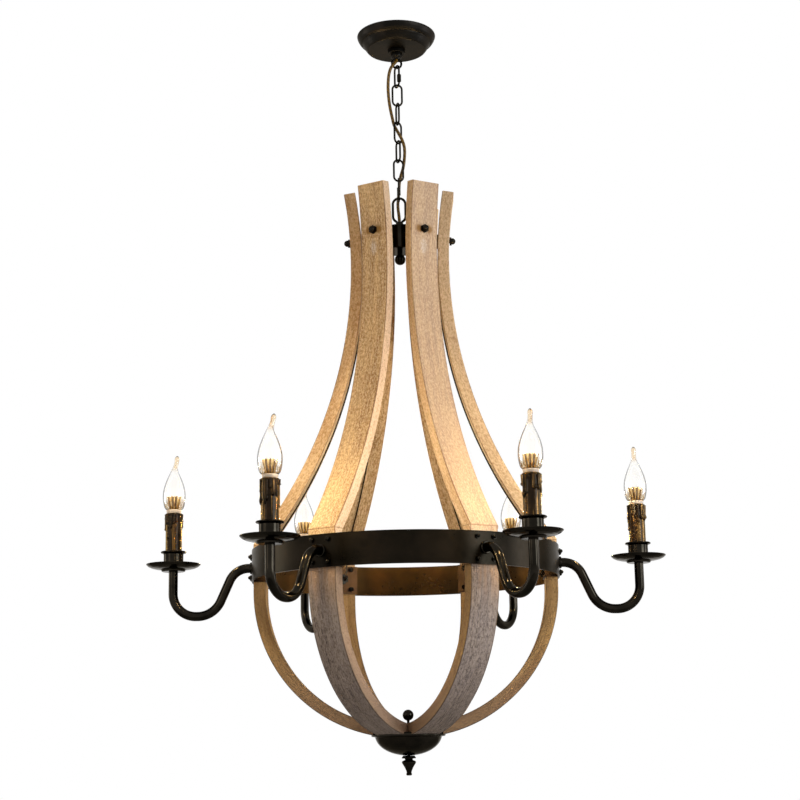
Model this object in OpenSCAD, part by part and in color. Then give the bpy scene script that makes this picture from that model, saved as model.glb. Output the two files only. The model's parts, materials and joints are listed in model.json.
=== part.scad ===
// Open basket chandelier: twelve curved wooden staves on a steel ring, six scroll
// arms with drip candles, hung from a ceiling canopy on a short chain.
// +Z is up, the origin is on the ceiling at the centre of the canopy.

/* [Ceiling canopy] */
// Diameter of the canopy rim
canopy_d = 127; // [120:1:150]
// Depth of the canopy below the ceiling
canopy_h = 25; // [24:1:35]
// Diameter of the flat bottom of the canopy
canopy_flat_d = 93; // [80:1:100]
// Spacing of the two ceiling screws
box_screw_spacing = 88.9; // [80:0.1:92]

/* [Chain] */
// Diameter of the chain wire
link_wire = 3.2; // [2.8:0.1:3.4]
// Outer width of a link
link_w = 18.4; // [17.4:0.1:20]
// Pitch of a plain link
link_pitch = 32; // [30:0.5:36]
// Pitch of a quick link
quick_pitch = 33; // [31:0.5:37]
// Diameter of the supply cord
cord_d = 5; // [4.6:0.1:5]

/* [Hub] */
// Diameter of the hub drum
hub_d = 51; // [48:1:56]
// Height of the hub drum
hub_h = 38; // [36:1:44]
// Outer height of the eye on top of the hub
eye_h = 44; // [40:1:50]
// Outer width of the eye
eye_w = 24; // [22:1:28]

/* [Staves] */
// Width of every stave
stave_w = 47; // [42:1:50]
// Thickness of every stave
stave_t = 18; // [15:0.5:19]
// Distance from the axis to the outer face at the waist
waist_r = 77; // [76:1:82]
// Bending radius of the outer face of the upper staves
upper_bend = 700; // [680:5:740]
// Height of the waist above the middle of the ring
waist_up = 470; // [460:5:480]
// Height of the stave tops above the waist
top_up = 117; // [110:1:125]
// Bending radius of the outer face of the lower staves
lower_bend = 219; // [215:1:222]
// Straight length of the lower staves below the middle of the ring
lower_straight = 38; // [34:1:45]

/* [Ring] */
// Outer diameter of the ring
ring_d = 466; // [460:1:480]
// Height of the ring
ring_h = 47; // [45:1:52]
// Thickness of the ring
ring_t = 2.5; // [2:0.5:3]

/* [Arms] */
// Distance from the axis to the candles
candle_r = 354; // [350:1:365]
// Diameter of the arm tube
arm_d = 14; // [13:0.5:15]
// Bending radius at the shoulder of the arm
shoulder_bend = 31; // [29:1:33]
// Bending radius where the arm turns level at its bottom
elbow_bend = 38; // [36:1:40]
// Bending radius where the arm turns up to the candle
rise_bend = 35; // [33:1:36]
// Slope of the falling part of the arm
arm_slope = 66; // [62:1:67]

/* [Candles] */
// Diameter of the saucer
saucer_d = 83; // [76:1:90]
// Diameter of the candle sleeve
sleeve_d = 25; // [24:0.5:26]
// Height of the sleeve top above the middle of the ring
sleeve_top = 86; // [80:1:95]
// Diameter of the bulb
bulb_d = 35; // [34:0.5:36]

/* [Bottom bowl] */
// Diameter of the bowl at its lip
bowl_d = 111; // [105:1:116]
// Depth of the bowl
bowl_h = 33.6; // [31:0.2:37]
// Height of the finial
finial_h = 28.8; // [27:0.2:33]

/* [Hidden] */
$fn = 64;
arm_count = 6;
step = 360 / arm_count;
gap = 0.3;

canopy_wall = 1.4;
bar_w = 20;
bar_t = 2;
nipple_d = 9.6;
collar_h = 13;
collar_wire = 3.5;
collar_loop_w = 19;
collar_loop_r = (collar_loop_w - collar_wire) / 2;
loop_drop = canopy_h + collar_h + collar_loop_w - collar_wire;

// Heights of the eight points where one link hangs in the next.
hang_0 = -loop_drop;
hang = [
    hang_0,
    hang_0 - quick_pitch,
    hang_0 - quick_pitch - link_pitch,
    hang_0 - quick_pitch - 2 * link_pitch,
    hang_0 - quick_pitch - 3 * link_pitch,
    hang_0 - quick_pitch - 4 * link_pitch,
    hang_0 - quick_pitch - 5 * link_pitch,
    hang_0 - 2 * quick_pitch - 5 * link_pitch
];
// Turn of each link about the vertical, top quick link first.
link_turn = [118, 8, 108, 45.8, -66, 14, 90];
loop_turn = 15;
quick_sleeve_l = 12;
quick_sleeve_down = 5.5;

eye_wire = 4;
eye_collar_h = 8.5;
eye_top = hang[7] + eye_wire;
hub_top = eye_top - eye_h - eye_collar_h;
hub_cover_t = 2;
hub_wall = 1.6;
bolt_z = hub_top - 23;
bolt_d = 6;
boss_d = 12;
boss_flange_d = 23;
ball_d = 17.2;
ball_z = hub_top - hub_h - 13.4;

waist_z = hub_top - 66;
ring_z = waist_z - waist_up;
ring_ri = ring_d / 2 - ring_t;
// The flat face of a stave is a chord inside the round ring.
foot_r = sqrt(pow(ring_ri, 2) - pow(stave_w / 2, 2)) - 0.1;
upper_c = waist_r + upper_bend;
top_angle = asin(top_up / upper_bend);
foot_top = waist_z - sqrt(pow(upper_bend + stave_t, 2) - pow(upper_c - foot_r + stave_t, 2));
lower_c = foot_r - lower_bend;
lower_z = ring_z - lower_straight;
edge = 1.2;
butt_gap = 0.25;

screw_y = 13.5;
screw_z = 15.8;
screw_d = 4;
screw_hole_d = 4.3;
bracket_t = 2;
arm_thread_d = 9.6;
arm_hole_d = 10;
locknut_t = 4;

wire_d = 4.8;
wire_bend = 10.5;
wire_exit_z = bolt_z - 10.5;
wire_leave = 36;

arm_level = 3;
arm_run = 33.5;
arm_bore = 11.4;
arm_top = -3.05;
arm_stub = candle_r - ring_d / 2 - rise_bend - arm_level - arm_run * cos(arm_slope)
    - (elbow_bend + shoulder_bend) * sin(arm_slope);
arm_drop = (shoulder_bend + elbow_bend) * (1 - cos(arm_slope)) + arm_run * sin(arm_slope);

saucer_rim_z = 8.6;
cup_top = 28;
bowl_lip_z = ring_z - 249.6;
bowl_wall = 1.4;
seat_r = bowl_d / 2 + 1.5;
rod_d = 4;
knob_d = 16.4;
knob_z = ring_z - 224;
bowl_bottom = bowl_lip_z - bowl_h;

// Route of the supply cord from the canopy through the chain into the hub.
cord_route = [
    [0, 0, -6], [0, 0, -24], [0, 0, -34], [-0.2, -0.4, -40], [-1.4, -2.6, -45.5],
    [-4.6, -5.8, -51], [-9.8, -6.4, -58.5], [-13, -5, -70], [-14.4, -3, -86],
    [-14.2, -1, -100], [-13, 2, -114], [-11, 4.5, -127], [-8.4, 5.8, -140],
    [-6.2, 4.2, -151], [-2, 1.2, -161], [2, -2, -170], [6.5, -4, -180], [9.5, -4, -190],
    [10.4, -3, -199], [10, 0.8, -207], [8.8, 6, -216], [6.8, 7.4, -226], [3.6, 8.8, -236],
    [1.2, 10.8, -246], [0.2, 12.4, -256], [-0.6, 12.6, -266], [-1.4, 12.4, -274],
    [-2, 10.2, -282], [-2, 6.2, -289.5], [-1.6, 3, -296.5], [-0.9, 1, -303],
    [-0.3, 0.2, -310], [0, 0, -317], [0, 0, -332]
];

// ---------------------------------------------------------------- helpers

module around() {
    for (i = [0:arm_count - 1]) rotate([0, 0, step * i]) children();
}

module tube(outer_d, inner_d, length) {
    difference() {
        cylinder(d = outer_d, h = length);
        translate([0, 0, -1]) cylinder(d = inner_d, h = length + 2);
    }
}

// A round bar that starts along +X. Each step is [0, length] for a straight run or
// [bending radius, angle] for a bend in the XZ plane, positive upwards. Straight runs
// are a hair thinner and reach a little way into the bends, so the steps always join.
lap = 0.3;
hair = 0.04;

module bar(steps, d, i = 0) {
    if (i < len(steps)) {
        bend = steps[i][0];
        if (bend == 0) {
            before = i > 0 ? lap : 0;
            after = i < len(steps) - 1 ? lap : 0;
            translate([-before, 0, 0]) rotate([0, 90, 0])
                cylinder(d = d - hair, h = before + steps[i][1] + after);
            translate([steps[i][1], 0, 0]) bar(steps, d, i + 1);
        } else {
            turn = abs(steps[i][1]);
            way = sign(steps[i][1]);
            translate([0, 0, way * bend]) rotate([90, 0, 0])
                rotate_extrude(start = way > 0 ? -90 : 90 - turn, angle = turn,
                    $fn = bend > 200 ? 720 : 72)
                    translate([bend, 0]) circle(d = d, $fn = 24);
            translate([bend * sin(turn), 0, way * bend * (1 - cos(turn))])
                rotate([0, -way * turn, 0]) bar(steps, d, i + 1);
        }
    }
}

// An oval ring of round wire in the XZ plane, its top at z = 0.
module oval(length, width, wire) {
    r = (width - wire) / 2;
    run = length - width;
    translate([0, 0, -width / 2]) rotate([90, 0, 0])
        rotate_extrude(start = 0, angle = 180) translate([r, 0]) circle(d = wire);
    for (side = [-1, 1])
        translate([side * r, 0, -width / 2 - run]) cylinder(d = wire, h = run);
    translate([0, 0, -width / 2 - run]) rotate([90, 0, 0])
        rotate_extrude(start = 180, angle = 180) translate([r, 0]) circle(d = wire);
}

// A dome-headed nut along +X with a hexagonal foot.
module cap_nut(across, foot, height) {
    rotate([0, 90, 0]) cylinder(d = across / cos(30), h = foot, $fn = 6);
    dome = across * 0.42;
    rotate([0, 90, 0]) cylinder(r = dome, h = height - dome);
    translate([height - dome, 0, 0]) sphere(r = dome);
}

// ---------------------------------------------------------------- canopy

module ceiling_canopy() {
    r = canopy_d / 2;
    rf = canopy_flat_d / 2;
    w = canopy_wall;
    color("#3b3632") difference() {
        rotate_extrude() polygon([
            [r - w, 0], [r - 0.4, 0], [r, -1.2], [r - 0.4, -3], [r - 1.4, -5.4],
            [r - 3.4, -9], [r - 5.4, -11.4], [r - 7, -12.4], [r - 8.4, -12.9], [r - 8.8, -14],
            [rf + 6.8, -canopy_h + 9], [rf + 5, -canopy_h + 6], [rf + 2.6, -canopy_h + 2.6],
            [rf + 1, -canopy_h + 0.7], [rf, -canopy_h],
            [0, -canopy_h], [0, -canopy_h + w], [rf - 0.4, -canopy_h + w],
            [rf + 1.2, -canopy_h + 3.2], [rf + 3.4, -canopy_h + 6.6], [rf + 5, -canopy_h + 10.4],
            [r - 9.4, -11.8], [r - 6.9, -10.9], [r - 5, -8.4], [r - 3, -4.8], [r - w, -1.4]
        ]);
        translate([0, 0, -canopy_h - 1]) cylinder(d = nipple_d + 0.4, h = 4);
    }
}

module canopy_crossbar() {
    slot_w = 4.8;
    slot_l = 9;
    bar_l = box_screw_spacing + 18;
    color("#9a9a98") difference() {
        translate([-bar_l / 2, -bar_w / 2, -bar_t]) cube([bar_l, bar_w, bar_t]);
        translate([0, 0, -bar_t - 1]) cylinder(d = nipple_d + 0.4, h = bar_t + 2);
        for (side = [-1, 1]) translate([side * box_screw_spacing / 2, 0, -bar_t - 1]) {
            for (end = [-1, 1]) translate([end * (slot_l - slot_w) / 2, 0, 0])
                cylinder(d = slot_w, h = bar_t + 2);
            translate([-(slot_l - slot_w) / 2, -slot_w / 2, 0])
                cube([slot_l - slot_w, slot_w, bar_t + 2]);
        }
    }
}

module canopy_nipple() {
    color("#9a9a98") translate([0, 0, -canopy_h - 7]) tube(nipple_d, 7, canopy_h + 7);
}

module nipple_locknut() {
    color("#9a9a98") translate([0, 0, -bar_t - 4.1]) difference() {
        cylinder(d = 17, h = 4, $fn = 6);
        translate([0, 0, -1]) cylinder(d = nipple_d + 0.1, h = 6);
    }
}

module collar_ring() {
    color("#3b3632") translate([0, 0, -canopy_h]) rotate([180, 0, 0]) difference() {
        rotate_extrude() polygon([
            [0, 0], [13.4, 0], [14, 0.8], [14, 5.2], [13.2, 6.2], [0, 6.2]
        ]);
        translate([0, 0, -1]) cylinder(d = nipple_d + 0.1, h = 9);
    }
}

module collar_loop() {
    top = -canopy_h - 6.2;
    stem = collar_h - 6.2 + 3;
    color("#3b3632") {
        difference() {
            union() {
                translate([0, 0, top - stem]) rotate_extrude() polygon([
                    [0, 0], [6.2, 0], [7.2, 2.4], [9, 4.6], [9.4, 6], [9.4, stem], [0, stem]
                ]);
                translate([0, 0, hang_0 - collar_wire + collar_loop_w / 2])
                    rotate([90, 0, loop_turn]) rotate_extrude()
                        translate([collar_loop_r, 0]) circle(d = collar_wire);
            }
            translate([0, 0, top - stem - 1.2]) cylinder(d = 7, h = stem + 4);
            translate([0, 0, top - 2]) cylinder(d = nipple_d + 0.1, h = 8);
        }
    }
}

// ---------------------------------------------------------------- chain

// Link number n hangs at height hang[n] and carries the next one at hang[n + 1].
module plain_link(n) {
    color("#24211f") translate([0, 0, hang[n] + link_wire]) rotate([0, 0, link_turn[n]])
        oval(link_pitch + gap + 2 * link_wire, link_w, link_wire);
}

module quick_link(n) {
    sleeve_x = (link_w - link_wire) / 2;
    mid = hang[n] - quick_pitch / 2 - quick_sleeve_down;
    color("#24211f") rotate([0, 0, link_turn[n]]) difference() {
        translate([0, 0, hang[n] + link_wire])
            oval(quick_pitch + gap + 2 * link_wire, link_w, link_wire);
        translate([-sleeve_x - 3, -3, mid - 4]) cube([6, 6, 8]);
    }
}

module quick_sleeve(n) {
    sleeve_x = (link_w - link_wire) / 2;
    mid = hang[n] - quick_pitch / 2 - quick_sleeve_down;
    color("#2f2b28") rotate([0, 0, link_turn[n]])
        translate([-sleeve_x, 0, mid - quick_sleeve_l / 2]) difference() {
            cylinder(d = 6.6, h = quick_sleeve_l, $fn = 6);
            translate([0, 0, -1]) cylinder(d = link_wire + 0.1, h = quick_sleeve_l + 2);
        }
}

// ---------------------------------------------------------------- supply cord

cord_sides = 10;
function unit(v) = v / norm(v);
function cord_way(i) = unit(
    cord_route[min(i + 1, len(cord_route) - 1)] - cord_route[max(i - 1, 0)]
);
function cord_side(i) = unit(cross([0, 1, 0], cord_way(i)));
function cord_ring(i) = [
    for (k = [0:cord_sides - 1])
        let (a = 360 * k / cord_sides, s = cord_side(i), t = cross(cord_way(i), s))
            cord_route[i] + cord_d / 2 * (cos(a) * s + sin(a) * t)
];

module supply_cord() {
    n = len(cord_route);
    points = [for (i = [0:n - 1]) each cord_ring(i)];
    walls = [
        for (i = [0:n - 2], k = [0:cord_sides - 1])
            let (a = i * cord_sides, m = (k + 1) % cord_sides)
                [a + k, a + cord_sides + k, a + cord_sides + m, a + m]
    ];
    ends = [
        [for (k = [0:cord_sides - 1]) k],
        [for (k = [cord_sides - 1:-1:0]) (n - 1) * cord_sides + k]
    ];
    color("#8a6a35") polyhedron(points, concat(walls, ends), convexity = 6);
}

// ---------------------------------------------------------------- hub

module hub_eye() {
    stem_d = 14;
    color("#24211f") difference() {
        union() {
            translate([0, 0, eye_top]) oval(eye_h, eye_w, eye_wire);
            translate([0, 0, hub_top]) rotate_extrude() polygon([
                [0, 0], [stem_d / 2, 0], [stem_d / 2, 5.5], [5, eye_collar_h + 2],
                [0, eye_collar_h + 2]
            ]);
        }
        translate([0, 0, hub_top - 1]) cylinder(d = 7, h = eye_collar_h + eye_wire + 2);
    }
}

module hub_cover() {
    color("#24211f") translate([0, 0, hub_top - hub_cover_t]) difference() {
        rotate_extrude() polygon([
            [0, 0], [hub_d / 2, 0], [hub_d / 2, 1.2], [hub_d / 2 - 0.8, hub_cover_t], [0, hub_cover_t]
        ]);
        translate([0, 0, -1]) cylinder(d = 9, h = hub_cover_t + 2);
    }
}

module hub_drum() {
    body_h = hub_h - hub_cover_t;
    wall_r = hub_d / 2 - hub_wall;
    color("#24211f") difference() {
        translate([0, 0, hub_top - hub_h]) rotate_extrude() polygon([
            [0, 0], [hub_d / 2 - 1.6, 0], [hub_d / 2, 1.6], [hub_d / 2, body_h],
            [wall_r, body_h], [wall_r, 2], [0, 2]
        ]);
        around() {
            translate([wall_r - 3, 0, bolt_z]) rotate([0, 90, 0])
                cylinder(d = bolt_d + 0.2, h = 10);
            translate([wall_r - 3, 0, wire_exit_z]) rotate([0, 90, 0])
                cylinder(d = wire_d + 0.4, h = 10);
        }
        translate([0, 0, hub_top - hub_h - 1]) cylinder(d = 6.2, h = 4);
    }
}

module hub_ball() {
    base = hub_top - hub_h;
    color("#24211f") union() {
        translate([0, 0, ball_z]) sphere(d = ball_d);
        translate([0, 0, ball_z]) cylinder(d = 8.4, h = base - ball_z);
        translate([0, 0, ball_z]) cylinder(d = 6, h = base - ball_z + 9);
    }
}

// Flanged bosses that carry the staves, their ends cut to the curve of the wood.
module stave_bosses() {
    color("#24211f") around() difference() {
        union() {
            translate([hub_d / 2 - 0.2, 0, bolt_z]) rotate([0, 90, 0])
                cylinder(d = boss_d, h = waist_r - hub_d / 2 - 8);
            translate([waist_r - stave_t - 2.5, 0, bolt_z]) rotate([0, 90, 0])
                cylinder(d = boss_flange_d, h = 6);
        }
        translate([upper_c, 0, waist_z]) rotate([90, 0, 0])
            translate([0, 0, -stave_w]) cylinder(r = upper_bend + stave_t + 0.05,
                h = 2 * stave_w, $fn = 720);
        translate([0, 0, hub_top - hub_h - 1]) cylinder(d = hub_d + 0.1, h = hub_h + 2);
        translate([hub_d / 2 - 5, 0, bolt_z]) rotate([0, 90, 0])
            cylinder(d = bolt_d + 0.1, h = waist_r);
    }
}

module stave_bolts() {
    head = upper_c - sqrt(pow(upper_bend, 2) - pow(bolt_z - waist_z, 2)) + 0.6;
    // The corners of the inner nut touch the round wall of the drum first.
    inner = sqrt(pow(hub_d / 2 - hub_wall, 2) - pow(5.8, 2)) - 0.1;
    color("#1d1b1a") around() translate([0, 0, bolt_z]) {
        translate([head, 0, 0]) cap_nut(12, 3, 9.4);
        translate([inner - 7, 0, 0]) rotate([0, 90, 0]) cylinder(d = bolt_d, h = head - inner + 8);
        translate([inner - 5, 0, 0]) rotate([0, 90, 0])
            cylinder(d = 10 / cos(30), h = 5, $fn = 6);
    }
}

// ---------------------------------------------------------------- staves

// Cross-section of a stave: thickness along +X, outer face at x = 0.
module stave_section(outer) {
    w = stave_w / 2;
    inner = outer - stave_t;
    polygon([
        [inner + edge, -w], [outer - edge, -w], [outer, -w + edge], [outer, w - edge],
        [outer - edge, w], [inner + edge, w], [inner, w - edge], [inner, -w + edge]
    ]);
}

module foot_holes(z_sign) {
    for (side = [-1, 1]) translate([foot_r - stave_t - 5, side * screw_y, ring_z + z_sign * screw_z])
        rotate([0, 90, 0]) cylinder(d = screw_hole_d, h = stave_t + 10);
    translate([foot_r - stave_t - 5, 0, ring_z]) rotate([0, 90, 0])
        cylinder(d = arm_hole_d + 0.6, h = stave_t + 10);
}

module upper_stave(n) {
    foot_low = asin((waist_z - foot_top) / (upper_bend + stave_t)) + 6;
    reach = foot_r + 1;
    color("#c49a5e") rotate([0, 0, step * (n - 1)]) difference() {
        union() {
            intersection() {
                translate([upper_c, 0, waist_z]) rotate([90, 0, 0])
                    rotate_extrude(start = 180 - top_angle, angle = top_angle + foot_low, $fn = 720)
                        mirror([1, 0]) translate([-2 * upper_bend - stave_t, 0])
                            stave_section(upper_bend + stave_t);
                translate([-1, -stave_w, foot_top])
                    cube([foot_r + 1, 2 * stave_w, waist_z + 200 - foot_top]);
            }
            translate([0, 0, ring_z + butt_gap])
                linear_extrude(foot_top + 0.05 - ring_z - butt_gap) stave_section(foot_r);
        }
        foot_holes(1);
        translate([0, 0, bolt_z]) rotate([0, 90, 0]) cylinder(d = bolt_d + 0.4, h = reach);
    }
}

module lower_stave(n) {
    color("#8d7d70") rotate([0, 0, step * (n - 1)]) difference() {
        intersection() {
            union() {
                translate([lower_c, 0, lower_z]) rotate([90, 0, 0])
                    rotate_extrude(start = 267, angle = 93, $fn = 360) stave_section(lower_bend);
                translate([0, 0, lower_z]) linear_extrude(lower_straight - butt_gap)
                    stave_section(foot_r);
            }
            // The six ends are mitred to meet on the axis.
            translate([0, 0, lower_z - lower_bend - 1]) linear_extrude(lower_bend + lower_straight + 2)
                polygon([[0.5, 0], [300, 300 * tan(30) - 0.3], [300, -300 * tan(30) + 0.3]]);
        }
        foot_holes(-1);
        translate([0, 0, bowl_lip_z - 20 + 0.1]) cylinder(r = seat_r, h = 20);
        translate([0, 0, bowl_lip_z - 5]) cylinder(d = rod_d + 0.6, h = 40);
        translate([22, 0, bowl_lip_z - 1]) cylinder(d = 3, h = 10);
    }
}

// ---------------------------------------------------------------- ring

module ring_band() {
    color("#38332f") difference() {
        translate([0, 0, ring_z - ring_h / 2]) rotate_extrude($fn = 180)
            translate([ring_ri, 0]) square([ring_t, ring_h]);
        around() {
            for (y = [-1, 1], z = [-1, 1])
                translate([ring_ri - 10, y * screw_y, ring_z + z * screw_z])
                    rotate([0, 90, 0]) cylinder(d = screw_hole_d, h = 20);
            translate([ring_ri - 10, 0, ring_z]) rotate([0, 90, 0])
                cylinder(d = arm_hole_d, h = 20);
        }
    }
}

// U-shaped clamps that hold an upper and a lower stave end to end behind the ring.
module stave_brackets() {
    inner = foot_r - stave_t - bracket_t - 0.1;
    half = stave_w / 2 + 0.15;
    flange_end = sqrt(pow(ring_ri, 2) - pow(half + bracket_t, 2)) - 0.4;
    low = ring_z - ring_h / 2 + 0.3;
    high = min(foot_top, ring_z + ring_h / 2) - 2;
    color("#33291f") around() difference() {
        union() {
            translate([inner, -half - bracket_t, low])
                cube([bracket_t, 2 * (half + bracket_t), high - low]);
            for (side = [-1, 1])
                translate([inner, side > 0 ? half : -half - bracket_t, low])
                    cube([flange_end - inner, bracket_t, high - low]);
        }
        for (y = [-1, 1], z = [-1, 1])
            translate([inner - 5, y * screw_y, ring_z + z * screw_z])
                rotate([0, 90, 0]) cylinder(d = screw_hole_d, h = 12);
        translate([inner - 5, 0, ring_z]) rotate([0, 90, 0]) cylinder(d = arm_hole_d, h = 12);
    }
}

module ring_screws() {
    inner = foot_r - stave_t - bracket_t - 0.2;
    head = sqrt(pow(ring_d / 2, 2) - pow(screw_y, 2)) + 0.3;
    color("#1d1b1a") around() for (y = [-1, 1], z = [-1, 1])
        translate([0, y * screw_y, ring_z + z * screw_z]) {
            translate([head, 0, 0]) cap_nut(7, 2, 5.6);
            translate([inner - 5, 0, 0]) rotate([0, 90, 0])
                cylinder(d = screw_d, h = head - inner + 5.5);
            translate([inner - 3.2, 0, 0]) rotate([0, 90, 0])
                cylinder(d = 7 / cos(30), h = 3.2, $fn = 6);
        }
}

// ---------------------------------------------------------------- arms

arm_steps = [
    [0, arm_stub], [shoulder_bend, -arm_slope], [0, arm_run], [elbow_bend, arm_slope],
    [0, arm_level], [rise_bend, 90], [0, arm_top + arm_drop - rise_bend]
];

module arm(n) {
    thread_in = foot_r - stave_t - bracket_t - locknut_t - 1.6;
    floor_t = 2;
    plug = 5;
    hollow = concat(
        [[0, arm_stub - floor_t]], [for (i = [1:5]) arm_steps[i]], [[0, arm_steps[6][1] - plug]]
    );
    color("#2b2623") rotate([0, 0, step * (n - 1)]) translate([0, 0, ring_z]) difference() {
        union() {
            translate([ring_d / 2, 0, 0]) bar(arm_steps, arm_d);
            translate([thread_in, 0, 0]) rotate([0, 90, 0])
                cylinder(d = arm_thread_d, h = ring_d / 2 + 1 - thread_in);
        }
        translate([ring_d / 2 + floor_t, 0, 0]) bar(hollow, arm_bore);
        translate([thread_in - 1, 0, 0]) rotate([0, 90, 0])
            cylinder(d = 7, h = ring_d / 2 - thread_in + 5);
        translate([candle_r, 0, arm_top - plug - 2]) cylinder(d = nipple_d + 0.1, h = plug + 3);
    }
}

module arm_collars() {
    color("#24211f") around() translate([ring_d / 2 + 0.05, 0, ring_z]) rotate([0, 90, 0])
        difference() {
            rotate_extrude() polygon([[0, 0], [9.2, 0], [9.2, 2.6], [8.2, 3.8], [0, 3.8]]);
            translate([0, 0, -1]) cylinder(d = arm_d + 0.1, h = 6);
        }
}

module arm_locknuts() {
    inner = foot_r - stave_t - bracket_t - locknut_t - 0.15;
    color("#9a9a98") around() translate([inner, 0, ring_z]) rotate([0, 90, 0])
        difference() {
            cylinder(d = 14 / cos(30), h = locknut_t, $fn = 6);
            translate([0, 0, -1]) cylinder(d = arm_thread_d + 0.1, h = locknut_t + 2);
        }
}

// One cable per arm: out of the drum, down the inner face of the stave, into the arm.
module stave_wires() {
    run_r = upper_bend + stave_t + wire_d / 2 + 0.1;
    x_waist = upper_c - run_r;
    x_leave = upper_c - run_r * cos(wire_leave) + sin(wire_leave);
    z_leave = waist_z - run_r * sin(wire_leave) - cos(wire_leave);
    turn_r = 15;
    root_r = 8;
    x_down = x_leave + turn_r * (1 - cos(wire_leave));
    z_down = z_leave - turn_r * sin(wire_leave);
    start = hub_d / 2 - 5;
    color("#171615") around() translate([start, 0, wire_exit_z]) bar([
        [0, x_waist - wire_bend - start], [wire_bend, -90],
        [0, wire_exit_z - wire_bend - waist_z], [run_r, wire_leave], [0, 1],
        [turn_r, -wire_leave], [0, z_down - ring_z - root_r], [root_r, 90], [0, 6]
    ], wire_d);
}

// ---------------------------------------------------------------- candles

module at_candles() {
    around() translate([candle_r, 0, ring_z]) children();
}

module saucers() {
    r = saucer_d / 2;
    top = saucer_rim_z;
    color("#24211f") at_candles() difference() {
        rotate_extrude() polygon([
            [0, -3], [16.6, -3], [18, -2.2], [18.4, -0.6], [20, 0.2], [r - 14, 1.2],
            [r - 8, 2.6], [r - 3.6, 4.6], [r - 1, 6.8], [r, top - 0.7], [r - 0.3, top],
            [r - 1.3, top], [r - 2.4, 7.3], [r - 4.6, 5.6], [r - 9, 3.8], [r - 14.5, 2.4],
            [17, 1.9], [0, 1.9]
        ]);
        translate([0, 0, -4]) cylinder(d = nipple_d + 0.2, h = 8);
    }
}

module candle_cups() {
    color("#24211f") at_candles() difference() {
        rotate_extrude() polygon([
            [0, 2], [13.6, 2], [15, 3.4], [15, cup_top - 4.6], [16, cup_top - 3.4],
            [18.8, cup_top - 2.6], [19.5, cup_top - 1.6], [19.3, cup_top - 0.6],
            [18.4, cup_top], [sleeve_d / 2 + 0.1, cup_top], [sleeve_d / 2 + 0.1, 5], [0, 5]
        ]);
        translate([0, 0, 1]) cylinder(d = nipple_d + 0.2, h = 5);
    }
}

// Run number k of melted wax: [angle, length, thickness].
drips = [
    [10, 17, 4.2], [52, 30, 3.8], [98, 13, 4.4], [141, 24, 4], [188, 38, 3.6],
    [232, 15, 4.4], [276, 27, 4], [322, 20, 3.8]
];

module candle_sleeves() {
    r = sleeve_d / 2;
    color("#2a2522") for (n = [0:arm_count - 1]) rotate([0, 0, step * n])
        translate([candle_r, 0, ring_z]) rotate([0, 0, 75 * n]) difference() {
            union() {
                translate([0, 0, 5.1]) cylinder(r = r, h = sleeve_top - 6.1);
                translate([0, 0, sleeve_top - 2.6]) rotate_extrude() polygon([
                    [0, -1.4], [r, -1.4], [r + 0.9, 0], [r + 0.9, 1.6], [r, 2.6], [0, 2.6]
                ]);
                for (d = drips) rotate([0, 0, d[0]]) translate([r - d[2] * 0.12, 0, 0]) {
                    translate([0, 0, sleeve_top - d[1]]) cylinder(d = d[2], h = d[1] - 1.6);
                    translate([0, 0, sleeve_top - d[1]]) sphere(d = d[2] + 0.9);
                }
            }
            translate([0, 0, 4]) cylinder(r = r - 1.3, h = sleeve_top);
        }
}

module lamp_sockets() {
    color("#d9d2c2") at_candles() {
        translate([0, 0, 24]) difference() {
            cylinder(d = 21.6, h = sleeve_top - 26);
            translate([0, 0, 12]) cylinder(d = 12.6, h = sleeve_top);
        }
        translate([0, 0, -7]) tube(nipple_d, 7, 32);
    }
}

module bulb_bases() {
    color("#b8b2a4") at_candles() translate([0, 0, sleeve_top - 21]) {
        translate([0, 0, 3]) cylinder(d = 12, h = 18);
        cylinder(d1 = 5, d2 = 9, h = 3);
    }
}

module bulb_collars() {
    color("#efe6cf") at_candles() translate([0, 0, sleeve_top]) rotate_extrude() polygon([
        [0, 0], [9.4, 0], [11, 1], [11.7, 4], [11.5, 5.5], [0, 5.5]
    ]);
}

// A flared cup of fins that carries the light up from the collar.
module light_guides() {
    fin = 1.9;
    fins = 12;
    color("#fff1cf") at_candles() translate([0, 0, sleeve_top + 5.5]) difference() {
        intersection() {
            cylinder(r1 = 6.3, r2 = 10.2, h = 19.5);
            linear_extrude(19.5) {
                circle(r = 5.6);
                for (k = [0:fins - 1]) rotate(360 / fins * (k + 0.5))
                    translate([0, -fin / 2]) square([12, fin]);
            }
        }
        translate([0, 0, 8]) cylinder(r1 = 2, r2 = 4.6, h = 12);
    }
}

// Outline of the flame-shaped glass, radius against height above the collar.
glass_h = 64;
glass_belly = 21;
glass_foot_r = 10.8;
glass_neck_r = 3;
function glass_r(z) = z < glass_belly
    ? glass_foot_r + (bulb_d / 2 - glass_foot_r) * sin(90 * z / glass_belly)
    : glass_neck_r + (bulb_d / 2 - glass_neck_r)
        * pow(cos(90 * (z - glass_belly) / (glass_h - glass_belly)), 1.42);
glass_steps = 20;
glass_wall = 0.8;
// Direction in which the drawn-out tip of each bulb leans.
tip_turn = [130, 200, 20, 60, 100, 75];

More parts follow.
